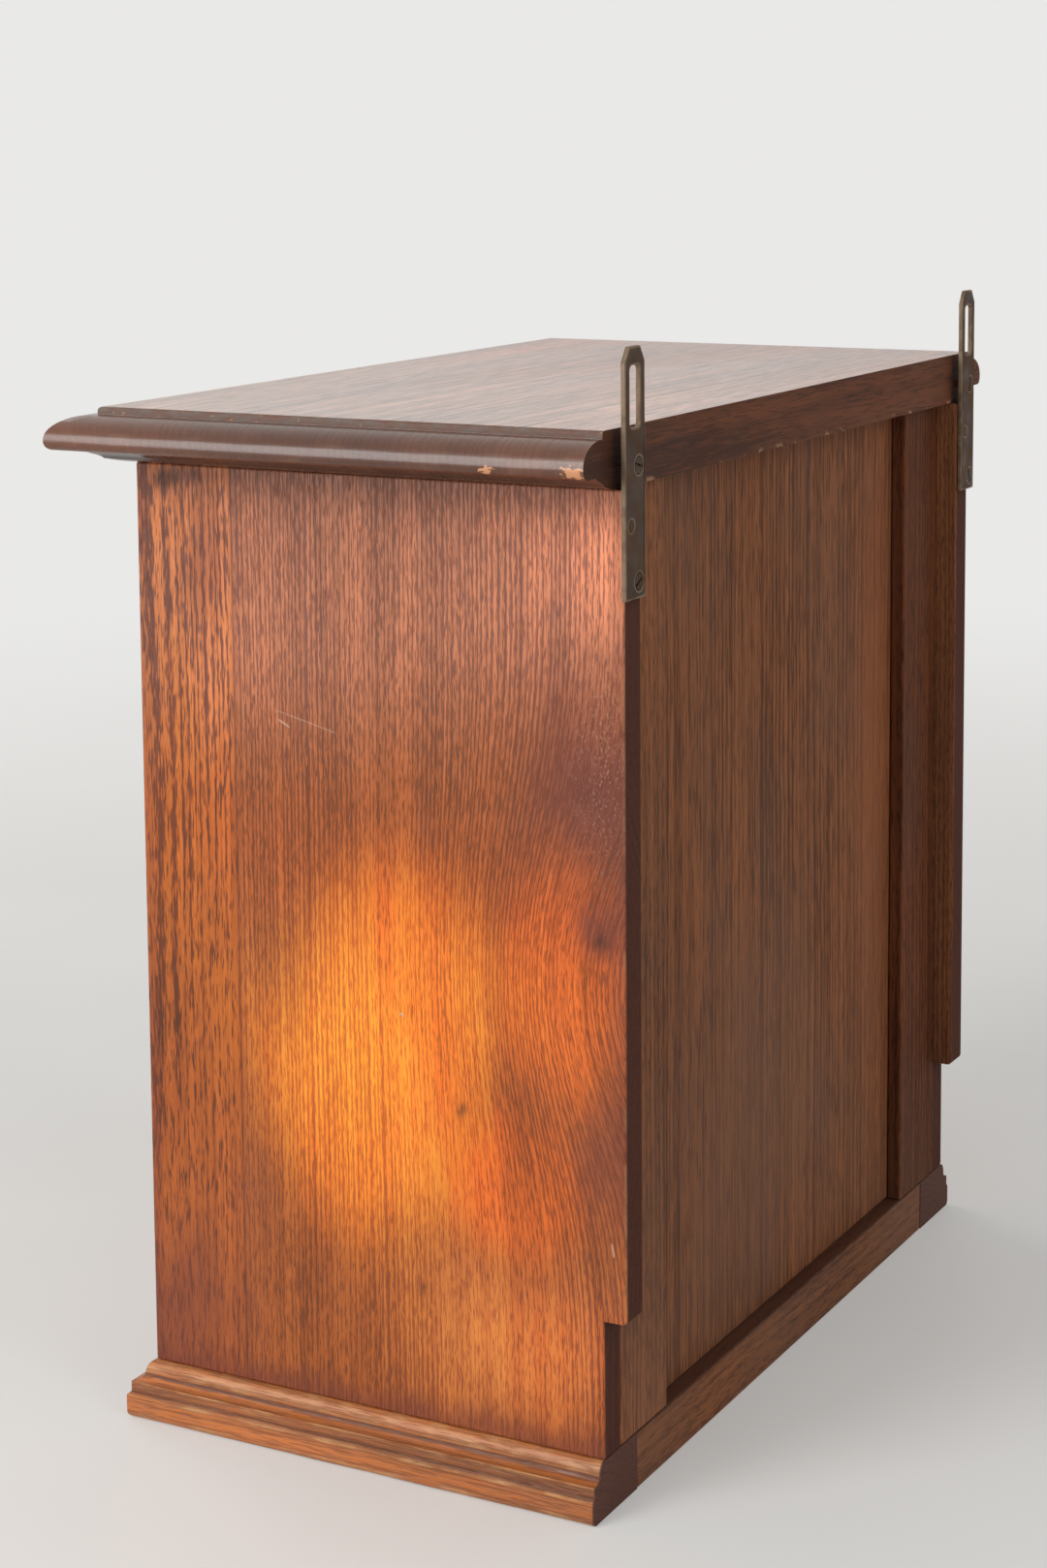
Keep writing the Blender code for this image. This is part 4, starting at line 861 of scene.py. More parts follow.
def build_base_mouldings(settings):
    """Three moulded strips, mitred at the front corners."""
    profile = base_profile(settings.base)
    back = STRIP_HIGH.y
    strips = {
        "left": (
            lambda reach: (-HALF_WIDTH - reach, CASE_FRONT - reach + MITRE_GAP),
            lambda reach: (-HALF_WIDTH - reach, back),
        ),
        "front": (
            lambda reach: (-HALF_WIDTH - reach + MITRE_GAP, CASE_FRONT - reach),
            lambda reach: (HALF_WIDTH + reach - MITRE_GAP, CASE_FRONT - reach),
        ),
        "right": (
            lambda reach: (HALF_WIDTH + reach, CASE_FRONT - reach + MITRE_GAP),
            lambda reach: (HALF_WIDTH + reach, back),
        ),
    }
    for number, (hand, stations) in enumerate(strips.items()):
        bm = bmesh.new()
        rows, lengths = add_sweep(bm, profile, stations, closed=True)
        for row in rows:
            bmesh.ops.contextual_create(bm, geom=row)
        bmesh.ops.subdivide_edges(bm, edges=lengths, cuts=WEAR_CUTS)
        wear_in(bm, settings.base.waver)
        node = f"base_moulding_{hand}"
        cut = Cut("X" if hand == "front" else "Y", (0.03, 0.05), ring=0.003, fleck=0.013)
        material = base_finish(node + "_oak", node, cut, settings.base_oak, 0.41 * number)
        add_piece(node + "_moulded", bm, material, "carcass", "oak_base", [node])


def round_edges(bm, edges, width, segments=2):
    """Rounds edges and gives the faces that they become."""
    made = bmesh.ops.bevel(
        bm,
        geom=edges,
        offset=width,
        offset_type="OFFSET",
        affect="EDGES",
        segments=segments,
        profile=0.5,
        material=-1,
        clamp_overlap=True,
    )
    return made["faces"]


def rub_points(bm, edges, width):
    """Rounds edges and marks the corners of what they become as rubbed, so that the wear fades out."""
    rub = bm.verts.layers.float.new("rub")
    for face in round_edges(bm, edges, width):
        for vert in face.verts:
            vert[rub] = 1.0


def rub_faces(bm, edges, width, segments=2):
    """Rounds edges and marks only the faces that they become as rubbed."""
    rub = bm.faces.layers.float.new("rub")
    for face in round_edges(bm, edges, width, segments):
        face[rub] = 1.0


def clear_flats(bm, faces, margin):
    """Keeps the wear of the edges to a margin round flat faces."""
    rub = bm.verts.layers.float.get("rub")
    bmesh.ops.inset_region(bm, faces=faces, thickness=margin, use_even_offset=True)
    for face in faces:
        for vert in face.verts:
            vert[rub] = 0.0


def sharp_edges(bm, angle=40):
    """Edges where a surface turns by more than an angle, in degrees."""
    least = math.radians(angle)
    return [e for e in bm.edges if len(e.link_faces) == 2 and e.calc_face_angle() > least]


def extrude_flat(bm, loops, run):
    """Fills loops of edges, with holes left open, and draws the face out along run."""
    normal = run.normalized()
    made = bmesh.ops.triangle_fill(bm, use_beauty=True, use_dissolve=False, edges=loops, normal=normal)
    faces = [f for f in made["geom"] if isinstance(f, bmesh.types.BMFace)]
    drawn = bmesh.ops.extrude_face_region(bm, geom=faces, use_keep_orig=True)["geom"]
    moved = [v for v in drawn if isinstance(v, bmesh.types.BMVert)]
    bmesh.ops.translate(bm, verts=moved, vec=run)
    bmesh.ops.recalc_face_normals(bm, faces=bm.faces)


def add_holes(bm, prefixes, gap, y):
    """Loops round the heads of the screws and pins that pass through a plate along Y."""
    loops = []
    for node in sorted(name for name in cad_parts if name.startswith(prefixes)):
        low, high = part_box(node)
        radius = (high.x - low.x) / 2 + gap
        centre = ((low.x + high.x) / 2, (low.z + high.z) / 2)
        loops += add_loop(bm, [(x, y, z) for x, z in arc(centre, (radius, radius), 0, 360, 24)[:-1]])
    return loops


def build_hanger_plates(settings):
    """Two iron plates with clipped tips and a round-cornered slot, their edges worn bright."""
    sizes = settings.plate
    for hand in ("left", "right"):
        node = f"hanger_plate_{hand}"
        fasteners = (f"hanger_screw_{hand}", f"hanger_nail_{hand}")
        low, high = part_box(node)
        x, half = (low.x + high.x) / 2, (high.x - low.x) / 2
        tip = sizes.tip_width / 2
        shoulder = high.z - sizes.tip_height
        outline = [(-half, low.z), (half, low.z), (half, shoulder)]
        outline += [(tip, high.z), (-tip, high.z), (-half, shoulder)]
        radii = (sizes.slot_round, sizes.slot_round)
        across = sizes.slot_width / 2 - sizes.slot_round
        top = high.z - sizes.slot_drop - sizes.slot_round
        foot = high.z - sizes.slot_drop - sizes.slot_height + sizes.slot_round
        slot = arc((across, top), radii, 0, 90, 5) + arc((-across, top), radii, 90, 180, 5)
        slot += arc((-across, foot), radii, 180, 270, 5) + arc((across, foot), radii, 270, 360, 5)
        bm = bmesh.new()
        loops = add_loop(bm, [(x + u, low.y, z) for u, z in outline])
        loops += add_loop(bm, [(x + u, low.y, z) for u, z in slot])
        loops += add_holes(bm, fasteners, sizes.hole_gap, low.y)
        extrude_flat(bm, loops, Y_AXIS * (high.y - low.y))
        rub_points(bm, sharp_edges(bm), sizes.edge)
        clear_flats(bm, [f for f in bm.faces if abs(f.normal.y) > 0.99], sizes.wear)
        material = iron_finish(node + "_iron", settings.metal)
        add_piece(node + "_worn", bm, material, "carcass", "iron_aged", [node])


def add_screw(bm, radius, length, slot_width):
    """A countersunk head at the origin with its shank down Z, slotted unless the slot has no width."""
    head = HEAD_DEPTH * radius
    bmesh.ops.create_circle(bm, cap_ends=True, segments=28, radius=radius)
    if not slot_width:
        dome = CROWN_RISE * radius
        bmesh.ops.inset_region(
            bm,
            faces=list(bm.faces),
            thickness=CROWN_MARGIN * radius,
            use_boundary=True,
            use_even_offset=True,
        )
        rim = [v for v in bm.verts if v.is_boundary]
        bmesh.ops.translate(bm, verts=rim, vec=(0, 0, -dome))
        length -= dome
    else:
        for side in (-1, 1):
            cheek = (side * slot_width / 2, 0, 0)
            geom = [*bm.verts, *bm.edges, *bm.faces]
            bmesh.ops.bisect_plane(bm, geom=geom, plane_co=cheek, plane_no=X_AXIS)
    rim = [e for e in bm.edges if e.is_boundary]
    for scale, drop in ((SHANK_RADIUS, head), (1.0, length - 2 * head), (TIP_RADIUS, head)):
        made = bmesh.ops.extrude_edge_only(bm, edges=rim)["geom"]
        verts = [v for v in made if isinstance(v, bmesh.types.BMVert)]
        rim = [e for e in made if isinstance(e, bmesh.types.BMEdge) and e.is_boundary]
        bmesh.ops.scale(bm, verts=verts, vec=(scale, scale, 1))
        bmesh.ops.translate(bm, verts=verts, vec=(0, 0, -drop))
    bmesh.ops.contextual_create(bm, geom=rim)
    bmesh.ops.recalc_face_normals(bm, faces=bm.faces)
    if slot_width:
        crown = [f for f in bm.faces if f.normal.z > 0.9]
        bottom = [f for f in crown if abs(f.calc_center_median().x) < slot_width / 4]
        sunk = bmesh.ops.extrude_face_region(bm, geom=bottom)["geom"]
        verts = [v for v in sunk if isinstance(v, bmesh.types.BMVert)]
        bmesh.ops.translate(bm, verts=verts, vec=(0, 0, -SLOT_DEPTH * head))
        bmesh.ops.delete(bm, geom=bottom, context="FACES_ONLY")


def build_screws(settings):
    """Every screw, nail and pin, with slotted heads that stand at their own angles."""
    # Start of the names, way in, width of the slot, finish and body
    kinds = (
        ("hanger_screw", -Y_AXIS, 0.0011, "iron_aged", "carcass"),
        ("hanger_nail", -Y_AXIS, 0.0, "iron_aged", "carcass"),
        ("bearer_screw_left", -X_AXIS, 0.0011, "steel_dull", "carcass"),
        ("bearer_screw_right", X_AXIS, 0.0011, "steel_dull", "carcass"),
        ("hinge_upper_frame_screw", -X_AXIS, 0.0007, "brass_aged", "carcass"),
        ("hinge_lower_frame_screw", -X_AXIS, 0.0007, "brass_aged", "carcass"),
        ("hinge_upper_door_screw", X_AXIS, 0.0007, "brass_aged", "door"),
        ("hinge_lower_door_screw", X_AXIS, 0.0007, "brass_aged", "door"),
        ("keeper_screw", X_AXIS, 0.0006, "steel_dull", "carcass"),
        ("lock_screw", -Y_AXIS, 0.0008, "steel_dull", "door"),
        ("escutcheon_pin", Y_AXIS, 0.0, "brass_aged", "door"),
    )
    finishes = {
        "iron_aged": iron_finish("screw_iron", settings.metal),
        "steel_dull": steel_finish("screw_steel", settings.metal),
        "brass_aged": brass_finish("screw_brass", settings.metal),
    }
    turn = FIRST_TURN
    for prefix, direction, slot_width, slot, body in kinds:
        for node in sorted(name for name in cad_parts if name.startswith(prefix)):
            low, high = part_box(node)
            size = high - low
            along = max(range(3), key=lambda i: abs(direction[i]))
            head = (low + high) / 2
            head[along] = low[along] if direction[along] > 0 else high[along]
            bm = bmesh.new()
            add_screw(bm, size[(along + 1) % 3] / 2, size[along], slot_width)
            facing = (-direction).to_track_quat("Z", "Y").to_matrix().to_4x4()
            turned = Matrix.Translation(head) @ facing @ Matrix.Rotation(turn, 4, "Z")
            bmesh.ops.transform(bm, matrix=turned, verts=bm.verts)
            add_piece(node + "_slotted", bm, finishes[slot], body, slot, [node])
            turn += NEXT_TURN


def build_knob(settings):
    """The turned knob, with its rose, its neck and its spindle."""
    sizes = settings.knob
    low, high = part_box("door_knob")
    door_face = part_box("door_stile_lock")[0].y
    proud = door_face - low.y
    x, z = (low.x + high.x) / 2, (low.z + high.z) / 2
    neck_end = sizes.rose_rise + sizes.neck_length
    neck_middle = neck_end - 0.5 * sizes.neck_length
    swell = (proud - neck_end) / 2
    start = math.degrees(math.asin(sizes.neck_radius / sizes.knob_radius))
    rose_round = (0.4 * sizes.rose_rise, 0.18 * sizes.rose_radius)
    neck_hollow = (0.5 * sizes.neck_length, 1.1 * sizes.neck_radius)
    profile = [(door_face - high.y, 0), (door_face - high.y, sizes.spindle_radius)]
    profile += [(MITRE_GAP, sizes.spindle_radius), (MITRE_GAP, sizes.rose_radius)]
    profile += arc((0.5 * sizes.rose_rise, 0.82 * sizes.rose_radius), rose_round, 90, 0, 5)
    profile += arc((neck_middle, 2.1 * sizes.neck_radius), neck_hollow, 180, 360, 10)
    profile += arc((neck_end + swell, 0), (swell, sizes.knob_radius), 180 - start, 0, 24)[1:-1]
    profile.append((proud, 0))
    bm = bmesh.new()
    verts = [bm.verts.new((x, door_face - along, z + radius)) for along, radius in profile]
    edges = [bm.edges.new(pair) for pair in zip(verts, verts[1:])]
    bmesh.ops.spin(
        bm,
        geom=verts + edges,
        cent=(x, 0, z),
        axis=Y_AXIS,
        angle=math.tau,
        steps=sizes.sides,
        use_merge=True,
    )
    bmesh.ops.remove_doubles(bm, verts=bm.verts, dist=SAME_RAW_POINT)
    material = brass_finish("knob_brass", settings.metal)
    add_piece("door_knob_turned", bm, material, "door", "brass_aged", ["door_knob"])


def build_escutcheon(settings):
    """An oval plate with a rounded edge round the keyhole."""
    sizes = settings.keyhole
    low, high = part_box("escutcheon")
    x, middle = (low.x + high.x) / 2, (low.z + high.z) / 2
    eye_z = middle + (sizes.slot_drop - sizes.eye_radius) / 2
    half = sizes.slot_width / 2
    opening = math.degrees(math.asin(half / sizes.eye_radius))
    keyhole = arc((x, eye_z), (sizes.eye_radius, sizes.eye_radius), opening - 90, 270 - opening, 24)
    keyhole += [(x - half, eye_z - sizes.slot_drop), (x + half, eye_z - sizes.slot_drop)]
    oval = arc((x, middle), ((high.x - low.x) / 2, (high.z - low.z) / 2), 0, 360, 56)[:-1]
    bm = bmesh.new()
    loops = add_loop(bm, [(u, high.y, z) for u, z in oval])
    loops += add_loop(bm, [(u, high.y, z) for u, z in keyhole])
    loops += add_holes(bm, "escutcheon_pin", sizes.pin_gap, high.y)
    extrude_flat(bm, loops, Y_AXIS * (low.y - high.y))
    middle_y = (low.y + high.y) / 2
    front = [e for e in sharp_edges(bm, 60) if all(v.co.y < middle_y for v in e.verts)]
    rub_faces(bm, front, sizes.edge, 3)
    material = brass_finish("escutcheon_brass", settings.metal)
    add_piece("escutcheon_oval", bm, material, "door", "brass_aged", ["escutcheon"])


def refine(node, body, slot, material, edge):
    """A copy of a CAD fitting whose edges are rounded and worn."""
    bm = bmesh.new()
    bm.from_mesh(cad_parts[node].data)
    bmesh.ops.remove_doubles(bm, verts=bm.verts, dist=SAME_RAW_POINT)
    bmesh.ops.dissolve_limit(bm, angle_limit=math.radians(1), verts=bm.verts, edges=bm.edges)
    rub_faces(bm, sharp_edges(bm, 50), edge)
    add_piece(node + "_worn", bm, material, body, slot, [node])


def build_hinges(settings):
    """Two butt hinges: worn brass leaves on their pins."""
    for level in ("upper", "lower"):
        for kind, body in (("frame", "carcass"), ("door", "door")):
            node = f"hinge_{level}_{kind}_leaf"
            refine(node, body, "brass_aged", brass_finish(node + "_brass", settings.metal), LEAF_EDGE)
        node = f"hinge_{level}_pin"
        refine(node, "carcass", "brass_aged", brass_finish(node + "_brass", settings.metal), PIN_EDGE)


def build_lock(settings):
    """The lock case, its bolt, the keeper and the nut of the knob."""
    metal = settings.metal
    refine("lock_case", "door", "iron_aged", iron_finish("lock_case_iron", metal), LOCK_CASE_EDGE)
    refine("lock_keeper", "carcass", "iron_aged", iron_finish("keeper_iron", metal), SMALL_EDGE)
    refine("lock_bolt", "lock_bolt", "steel_dull", steel_finish("bolt_steel", metal), SMALL_EDGE)
    refine("knob_nut", "door", "steel_dull", steel_finish("nut_steel", metal), SMALL_EDGE)


def top_board_finish(colours):
    """Dark, thick varnish of the moulded edge, rubbed along the nose, with chips at the right-hand end."""
    n, figure, wood = varnished_board("top_board_oak", "top_board", TOP_CUT, colours, 0.0)
    place = n.place()
    thick = n.mix(n.span(figure["cloud"], 0.3, 0.7), colours.warm, colours.pale)
    wood = n.mix(0.72, wood, thick)
    patchy = n.span(n.noise(place, (45, 45, 120), 4.0), 0.50, 0.68)
    rub = n.times(n.attribute("rub"), patchy)
    worn = n.times(rub, 0.24)
    wood = n.mix(worn, wood, colours.rubbed)
    ragged = n.times(n.math("SUBTRACT", n.noise(place, (500, 420, 700), 5.0), 0.5), 1.9)
    chips = ragged
    for centre, spread in TOP_CHIPS:
        chips = n.most(chips, n.plus(n.blob(place, centre, spread), ragged))
    chip = n.span(chips, 0.60, 0.80, 0.0, 0.9)
    wood = n.mix(chip, wood, colours.chip)
    worn = n.most(worn, chip)
    # Painted shade: darker in the hollow under the nose and in the quirk below the fillet
    wood = n.mix(n.times(n.attribute("dirt"), 0.9), wood, colours.pore)
    grain_bump(n, figure, depth=0.0003, share=0.25)
    gloss = n.plus(varnish_gloss(n, figure, colours.roughness), n.times(worn, 0.2))
    return n.finish(wood, gloss, coat=0.85, coat_roughness=0.20, specular=0.15)


def top_face_finish(colours):
    """The upper face, whose varnish is thin and dull, made paler and greyer with dust and with a painted
    sheen, most at its right-hand end.
    """
    n, figure, wood = varnished_board("top_face_oak", "top_board", TOP_CUT, colours, 0.0)
    # Dust and painted sheen: paler and greyer all over, and most at the right-hand end
    dust = n.span(n.parts(n.place())[0], TOP_LOW.x, TOP_HIGH.x)
    wood = n.tinted(wood, n.mix(dust, colours.dust_and_sheen_left, colours.dust_and_sheen_right))
    wood = n.toned(wood, n.span(figure["streak"], 0.3, 0.7, 0.85, 1.15))
    grain_bump(n, figure, depth=0.0003)
    gloss = n.plus(varnish_gloss(n, figure, colours.roughness), 0.08)
    return n.finish(wood, gloss, coat=0.50, coat_roughness=0.32, specular=0.15, dust=0.34)


def top_back_finish(colours):
    """The back face of the top board, which was left unvarnished, with pale nicks along its lower edge."""
    n, figure, wood = varnished_board("top_back_oak", "top_board", TOP_CUT, colours, 0.3)
    place = n.place()
    low_edge = n.span(n.parts(place)[2], TOP_LOW.z + 0.0024, TOP_LOW.z + 0.0004)
    nicks = n.times(low_edge, n.span(n.noise(place, (70, 1, 160), 3.0), 0.56, 0.64, 0.0, 0.7))
    wood = n.mix(nicks, wood, colours.rubbed)
    grain_bump(n, figure, depth=0.0004)
    return n.finish(wood, n.span(figure["cloud"], 0.3, 0.7, 0.6, 0.75), specular=0.15)


def top_fillet_finish(colours):
    """The dull fillet round the upper face, with dust on dark wood and pale specks where it is bruised."""
    n = Finish("top_fillet_oak")
    place = n.place()
    dust = n.span(n.noise(place, (130, 130, 400), 4.0), 0.35, 0.68, 0.3, 1.0)
    wood = n.mix(dust, colours.pale, colours.dust)
    bruise = n.span(n.noise(place, (420, 420, 900), 2.0), 0.66, 0.74, 0.0, 0.8)
    wood = n.mix(bruise, wood, colours.rubbed)
    n.bump(n.noise(place, (300, 300, 700), 3.0), 0.0004, 0.5)
    return n.finish(wood, n.span(dust, 0.0, 1.0, 0.45, 0.7), specular=0.3)


def base_finish(name, node, cut, colours, shift):
    """Varnish of a base strip, rubbed along its arrises and dark in its quirk."""
    n, figure, wood = varnished_board(name, node, cut, colours, shift, rings=0.40, pores=0.42)
    place = n.place()
    patchy = n.span(n.noise(place, (60, 60, 200), 4.0), 0.42, 0.66, 0.15, 1.0)
    worn = n.times(n.times(n.attribute("rub"), patchy), 0.95)
    wood = n.mix(worn, wood, colours.rubbed)
    wood = n.mix(n.times(n.attribute("dirt"), 0.8), wood, colours.pore)
    end = n.span(n.parts(place)[1], STRIP_HIGH.y - END_START, STRIP_HIGH.y - END_FULL)
    wood = n.mix(end, wood, n.mix(figure["pores"], colours.end, colours.pore))
    grain_bump(n, figure, depth=0.00035)
    gloss = n.plus(varnish_gloss(n, figure, colours.roughness), n.times(end, 0.5))
    return n.finish(wood, gloss, coat=0.10, coat_roughness=0.28, specular=0.35)


def side_finish(node, colours, bare, marks):
    """Varnish of a side, glued up from two boards, with the marks of its outer face."""
    low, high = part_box(node)
    n = Finish(node + "_oak")
    place = n.place()
    if marks:
        knot = (high.x, high.y - BEND_DEPTH, BEND_HEIGHT)
        push = n.times(n.blob(place, knot, BEND_SPREAD), BEND_REACH)
        place = n.vector("ADD", place, n.joined(y=push))
    turned = n.turned(place, (low + high) / 2, GRAIN_TURN["Z"])
    main_cut = Cut("Z", (0.05, 0.20), ring=0.0023, pore=0.00037, fleck=0.0054, sway=0.006)
    strip_cut = Cut("Z", (0.034, -0.117), ring=0.0025, pore=0.00075, fleck=0.008, sway=0.010)
    main, strip = oak_figure(n, turned, main_cut), oak_figure(n, turned, strip_cut)
    wood = oak_colour(n, main, colours, rings=0.45, pores=0.66)
    front = oak_colour(n, strip, colours, rings=0.55, pores=0.84)
    front = n.tinted(front, STRIP_TINT)
    glue_line = low.y + STRIP_DEPTH
    x, y, _ = n.parts(n.place())
    from_middle = n.math("ABSOLUTE", x)
    wood = n.mix(n.span(y, glue_line - 0.0015, glue_line + 0.0015), front, wood)
    line = n.span(n.math("ABSOLUTE", n.math("SUBTRACT", y, glue_line)), 0.0, 0.0009, 0.5, 0.0)
    wood = n.mix(line, wood, colours.pore)
    if marks:
        wood = side_marks(n, wood, colours, high.x)
    else:
        wood = patchy_varnish(n, wood, colours, 0.6)
    wood = n.mix(worn_edges(n, low, high, width=0.0016, share=0.3), wood, colours.rubbed)
    outside = n.span(from_middle, HALF_WIDTH - SKIN_START, HALF_WIDTH - SKIN_FULL)
    shown = n.most(outside, n.span(y, low.y + SKIN_START, low.y + SKIN_FULL))
    unvarnished = oak_colour(n, main, bare, rings=0.7, pores=0.6)
    inner = HALF_WIDTH - (high.x - low.x)
    off_inner = n.span(from_middle, inner + SKIN_FULL, inner + SKIN_START)
    back_edge = n.times(off_inner, n.span(y, 0.0, 0.01))
    edge = n.mix(n.times(main["pores"], 0.6), colours.edge, colours.pore)
    unvarnished = n.mix(back_edge, unvarnished, edge)
    wood = n.mix(shown, unvarnished, wood)
    grain_bump(n, main, depth=0.0003)
    gloss = n.plus(varnish_gloss(n, main, colours.roughness), n.span(shown, 0.0, 1.0, 0.55, 0.0))
    return n.finish(wood, gloss, specular=0.3)


def patchy_varnish(n, wood, colours, shift):
    """Soft patches where the varnish is thin and warm, and others where it is thick and reddish."""
    place = n.vector("ADD", n.place(), (shift, shift, shift))
    thin = n.span(n.noise(place, (9, 9, 6), 2.0), 0.48, 0.76, 0.02, 0.36)
    wood = n.mix(thin, wood, n.lit(wood, colours.glow))
    thick = n.span(n.noise(n.vector("ADD", place, (3, 3, 3)), (11, 11, 8), 3.0), 0.52, 0.76, 0.0, 0.5)
    return n.mix(thick, wood, colours.shade)


def side_marks(n, wood, colours, face):
    """A painted pool of sunlight, painted sheen, highlights, glints and shade, and reddish patches, knots,
    a stain and scratches of the right side.
    """
    flat = n.place()
    place = n.vector("ADD", flat, n.sway(flat, (28, 60, 10), MARK_SWAY))
    near = n.vector("ADD", flat, n.sway(flat, (140, 140, 90), KNOT_SWAY))
    _, depth, height = n.parts(place)
    # Painted sheen: the upper half is made greyer, standing for the gloss of its varnish
    slope = n.plus(height, n.times(depth, PAINTED_SHEEN_FALL))
    painted_sheen = n.span(slope, PAINTED_SHEEN_START, PAINTED_SHEEN_FULL, 0.0, PAINTED_SHEEN_SHARE)
    sheened = n.mix(painted_sheen, wood, n.tinted(wood, colours.painted_sheen))
    # Painted highlight: the wood made pinker and bluer where the varnish catches the light
    highlighted = n.tinted(wood, colours.painted_highlight)
    # Painted light: the wood made brighter and warmer for the pool of sunlight
    glowing = n.lit(wood, colours.glow)
    wood = side_patches(n, place, face, sheened, PAINTED_HIGHLIGHTS, highlighted)
    wood = side_patches(n, place, face, wood, SUNLIT_PATCHES, glowing)
    for patch, tint in (
        (SUNLIT_CORE, colours.core),
        (SUNLIT_DULL_CORE, colours.dull),
        (SUNLIT_RIM, colours.sunlit_rim_tint),
        (SUNLIT_FOOT, colours.foot),
    ):
        wood = side_patches(n, place, face, wood, [patch], n.tinted(wood, tint))
    wood = side_patches(n, place, face, wood, SUNLIT_EMBERS, n.lit(wood, colours.sunlit_ember))
    wood = side_patches(n, place, face, wood, RED_SHADES, colours.shade)
    wood = side_patches(n, near, face, wood, KNOTS, colours.pore)
    foot = n.span(height, STRIP_HIGH.z + 0.016, STRIP_HIGH.z + 0.002, 0.0, 0.6)
    front = n.span(depth, CASE_FRONT + 0.008, CASE_FRONT + 0.001, 0.0, 0.4)
    wood = n.mix(n.most(foot, front), wood, colours.shade)
    # Painted shade: the side darkens just under the top board, where its overhang shades it
    head = n.span(height, TOP_LOW.z - 0.024, TOP_LOW.z - 0.001, 0.0, 0.45)
    wood = n.mix(head, wood, colours.edge)
    # Painted glints: pale specks where the pores catch the light, laid on in the scratch colour
    rubbed = n.span(n.noise(flat, (950, 950, 620), 1.0), 0.58, 0.68)
    specks = n.times(rubbed, side_patch(n, flat, face, PAINTED_GLINTS))
    wood = n.mix(specks, wood, colours.scratch)
    for start, end, width, share in SCRATCHES:
        scratch = n.stroke(flat, (face, *start), (face, *end), width)
        wood = n.mix(n.times(scratch, share), wood, colours.scratch)
    return wood


def side_patch(n, place, face, patch):
    """How much of a patch (depth, height, half width, half height, share, falloff) there is at a place."""
    depth, height, half_width, half_height, share, falloff = patch
    shape = n.blob(place, (face, depth, height), (1, half_width, half_height), falloff)
    return n.times(shape, share)


def side_patches(n, place, face, wood, patches, colour):
    """The wood with a colour laid over it in patches."""
    for patch in patches:
        wood = n.mix(side_patch(n, place, face, patch), wood, colour)
    return wood


def build_sides(settings):
    """The two sides keep their CAD shapes and get their varnish."""
    put_on("side_right", side_finish("side_right", settings.varnished_oak, settings.bare_oak, True))
    put_on("side_left", side_finish("side_left", settings.varnished_oak, settings.bare_oak, False))


def build_back(settings):
    """The back frame and panel get their matt, darkened wood."""
    colours = settings.bare_oak
    boards = {
        "back_stile_left": Cut("Z", (0.10, 0.06), ring=0.0042),
        "back_stile_right": Cut("Z", (-0.10, 0.05), ring=0.0042),
        "base_back_rail": Cut("X", (0.03, 0.09), ring=0.0036),
        "back_panel": Cut("Z", (-0.30, 0.06), ring=0.0046, pore=0.0007, fleck=0.014, sway=0.014),
    }
    for number, (node, cut) in enumerate(boards.items()):
        n, figure, wood = bare_board(node + "_oak", node, cut, colours, 0.37 * number)
        low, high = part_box(node)
        place = n.place()
        x, _, z = n.parts(place)
        if node == "back_panel":
            centre = (low.x + PANEL_GLOW_INSET, high.y, PANEL_GLOW_HEIGHT)
            glow = n.blob(place, centre, PANEL_GLOW_SPREAD)
            wood = n.mix(n.times(glow, 0.6), wood, colours.glow)
            from_joint = n.math("ABSOLUTE", n.math("SUBTRACT", x, PANEL_JOINT))
            wood = n.mix(n.span(from_joint, 0.0, 0.0009, 0.65, 0.0), wood, colours.pore)
        elif node == "base_back_rail":
            # Painted shade and dirt: the rail's top ledge, in the recess under the panel, is darker
            shade_and_dirt_ledge = n.span(z, high.z - END_START, high.z - END_FULL, 0.0, 0.8)
            wood = n.mix(shade_and_dirt_ledge, wood, colours.pore)
        elif node == "back_stile_left":
            # Painted shade: the left stile is made darker than the rest of the back
            wood = n.tinted(wood, SHADED_LEFT_STILE_TINT)
        elif node == "back_stile_right":
            centre = (HALF_WIDTH, CASE_BACK, STRIP_HIGH.z)
            foot = n.blob(place, centre, STILE_FOOT_SPREAD, STEEP)
            wood = n.mix(foot, wood, n.tinted(wood, STILE_FOOT_TINT))
        rough = n.span(figure["cloud"], 0.3, 0.7, colours.roughness * 0.9, colours.roughness * 1.15)
        put_on(node, n.finish(wood, rough, specular=0.15))


def build_inside(settings):
    """Floor, shelf, bearers and door stop get bare wood."""
    colours = settings.bare_oak
    boards = {
        "floor_board": Cut("X", (0.04, 0.05), ring=0.0036),
        "shelf": Cut("X", (-0.05, -0.08), ring=0.0034),
        "shelf_bearer_left": Cut("Y", (0.05, 0.02)),
        "shelf_bearer_right": Cut("Y", (-0.04, 0.03)),
        "door_stop": Cut("X", (0.03, 0.04)),
    }
    for number, (node, cut) in enumerate(boards.items()):
        n, _, wood = bare_board(node + "_oak", node, cut, colours, 0.53 * number + 0.2)
        put_on(node, n.finish(wood, colours.roughness, specular=0.15))


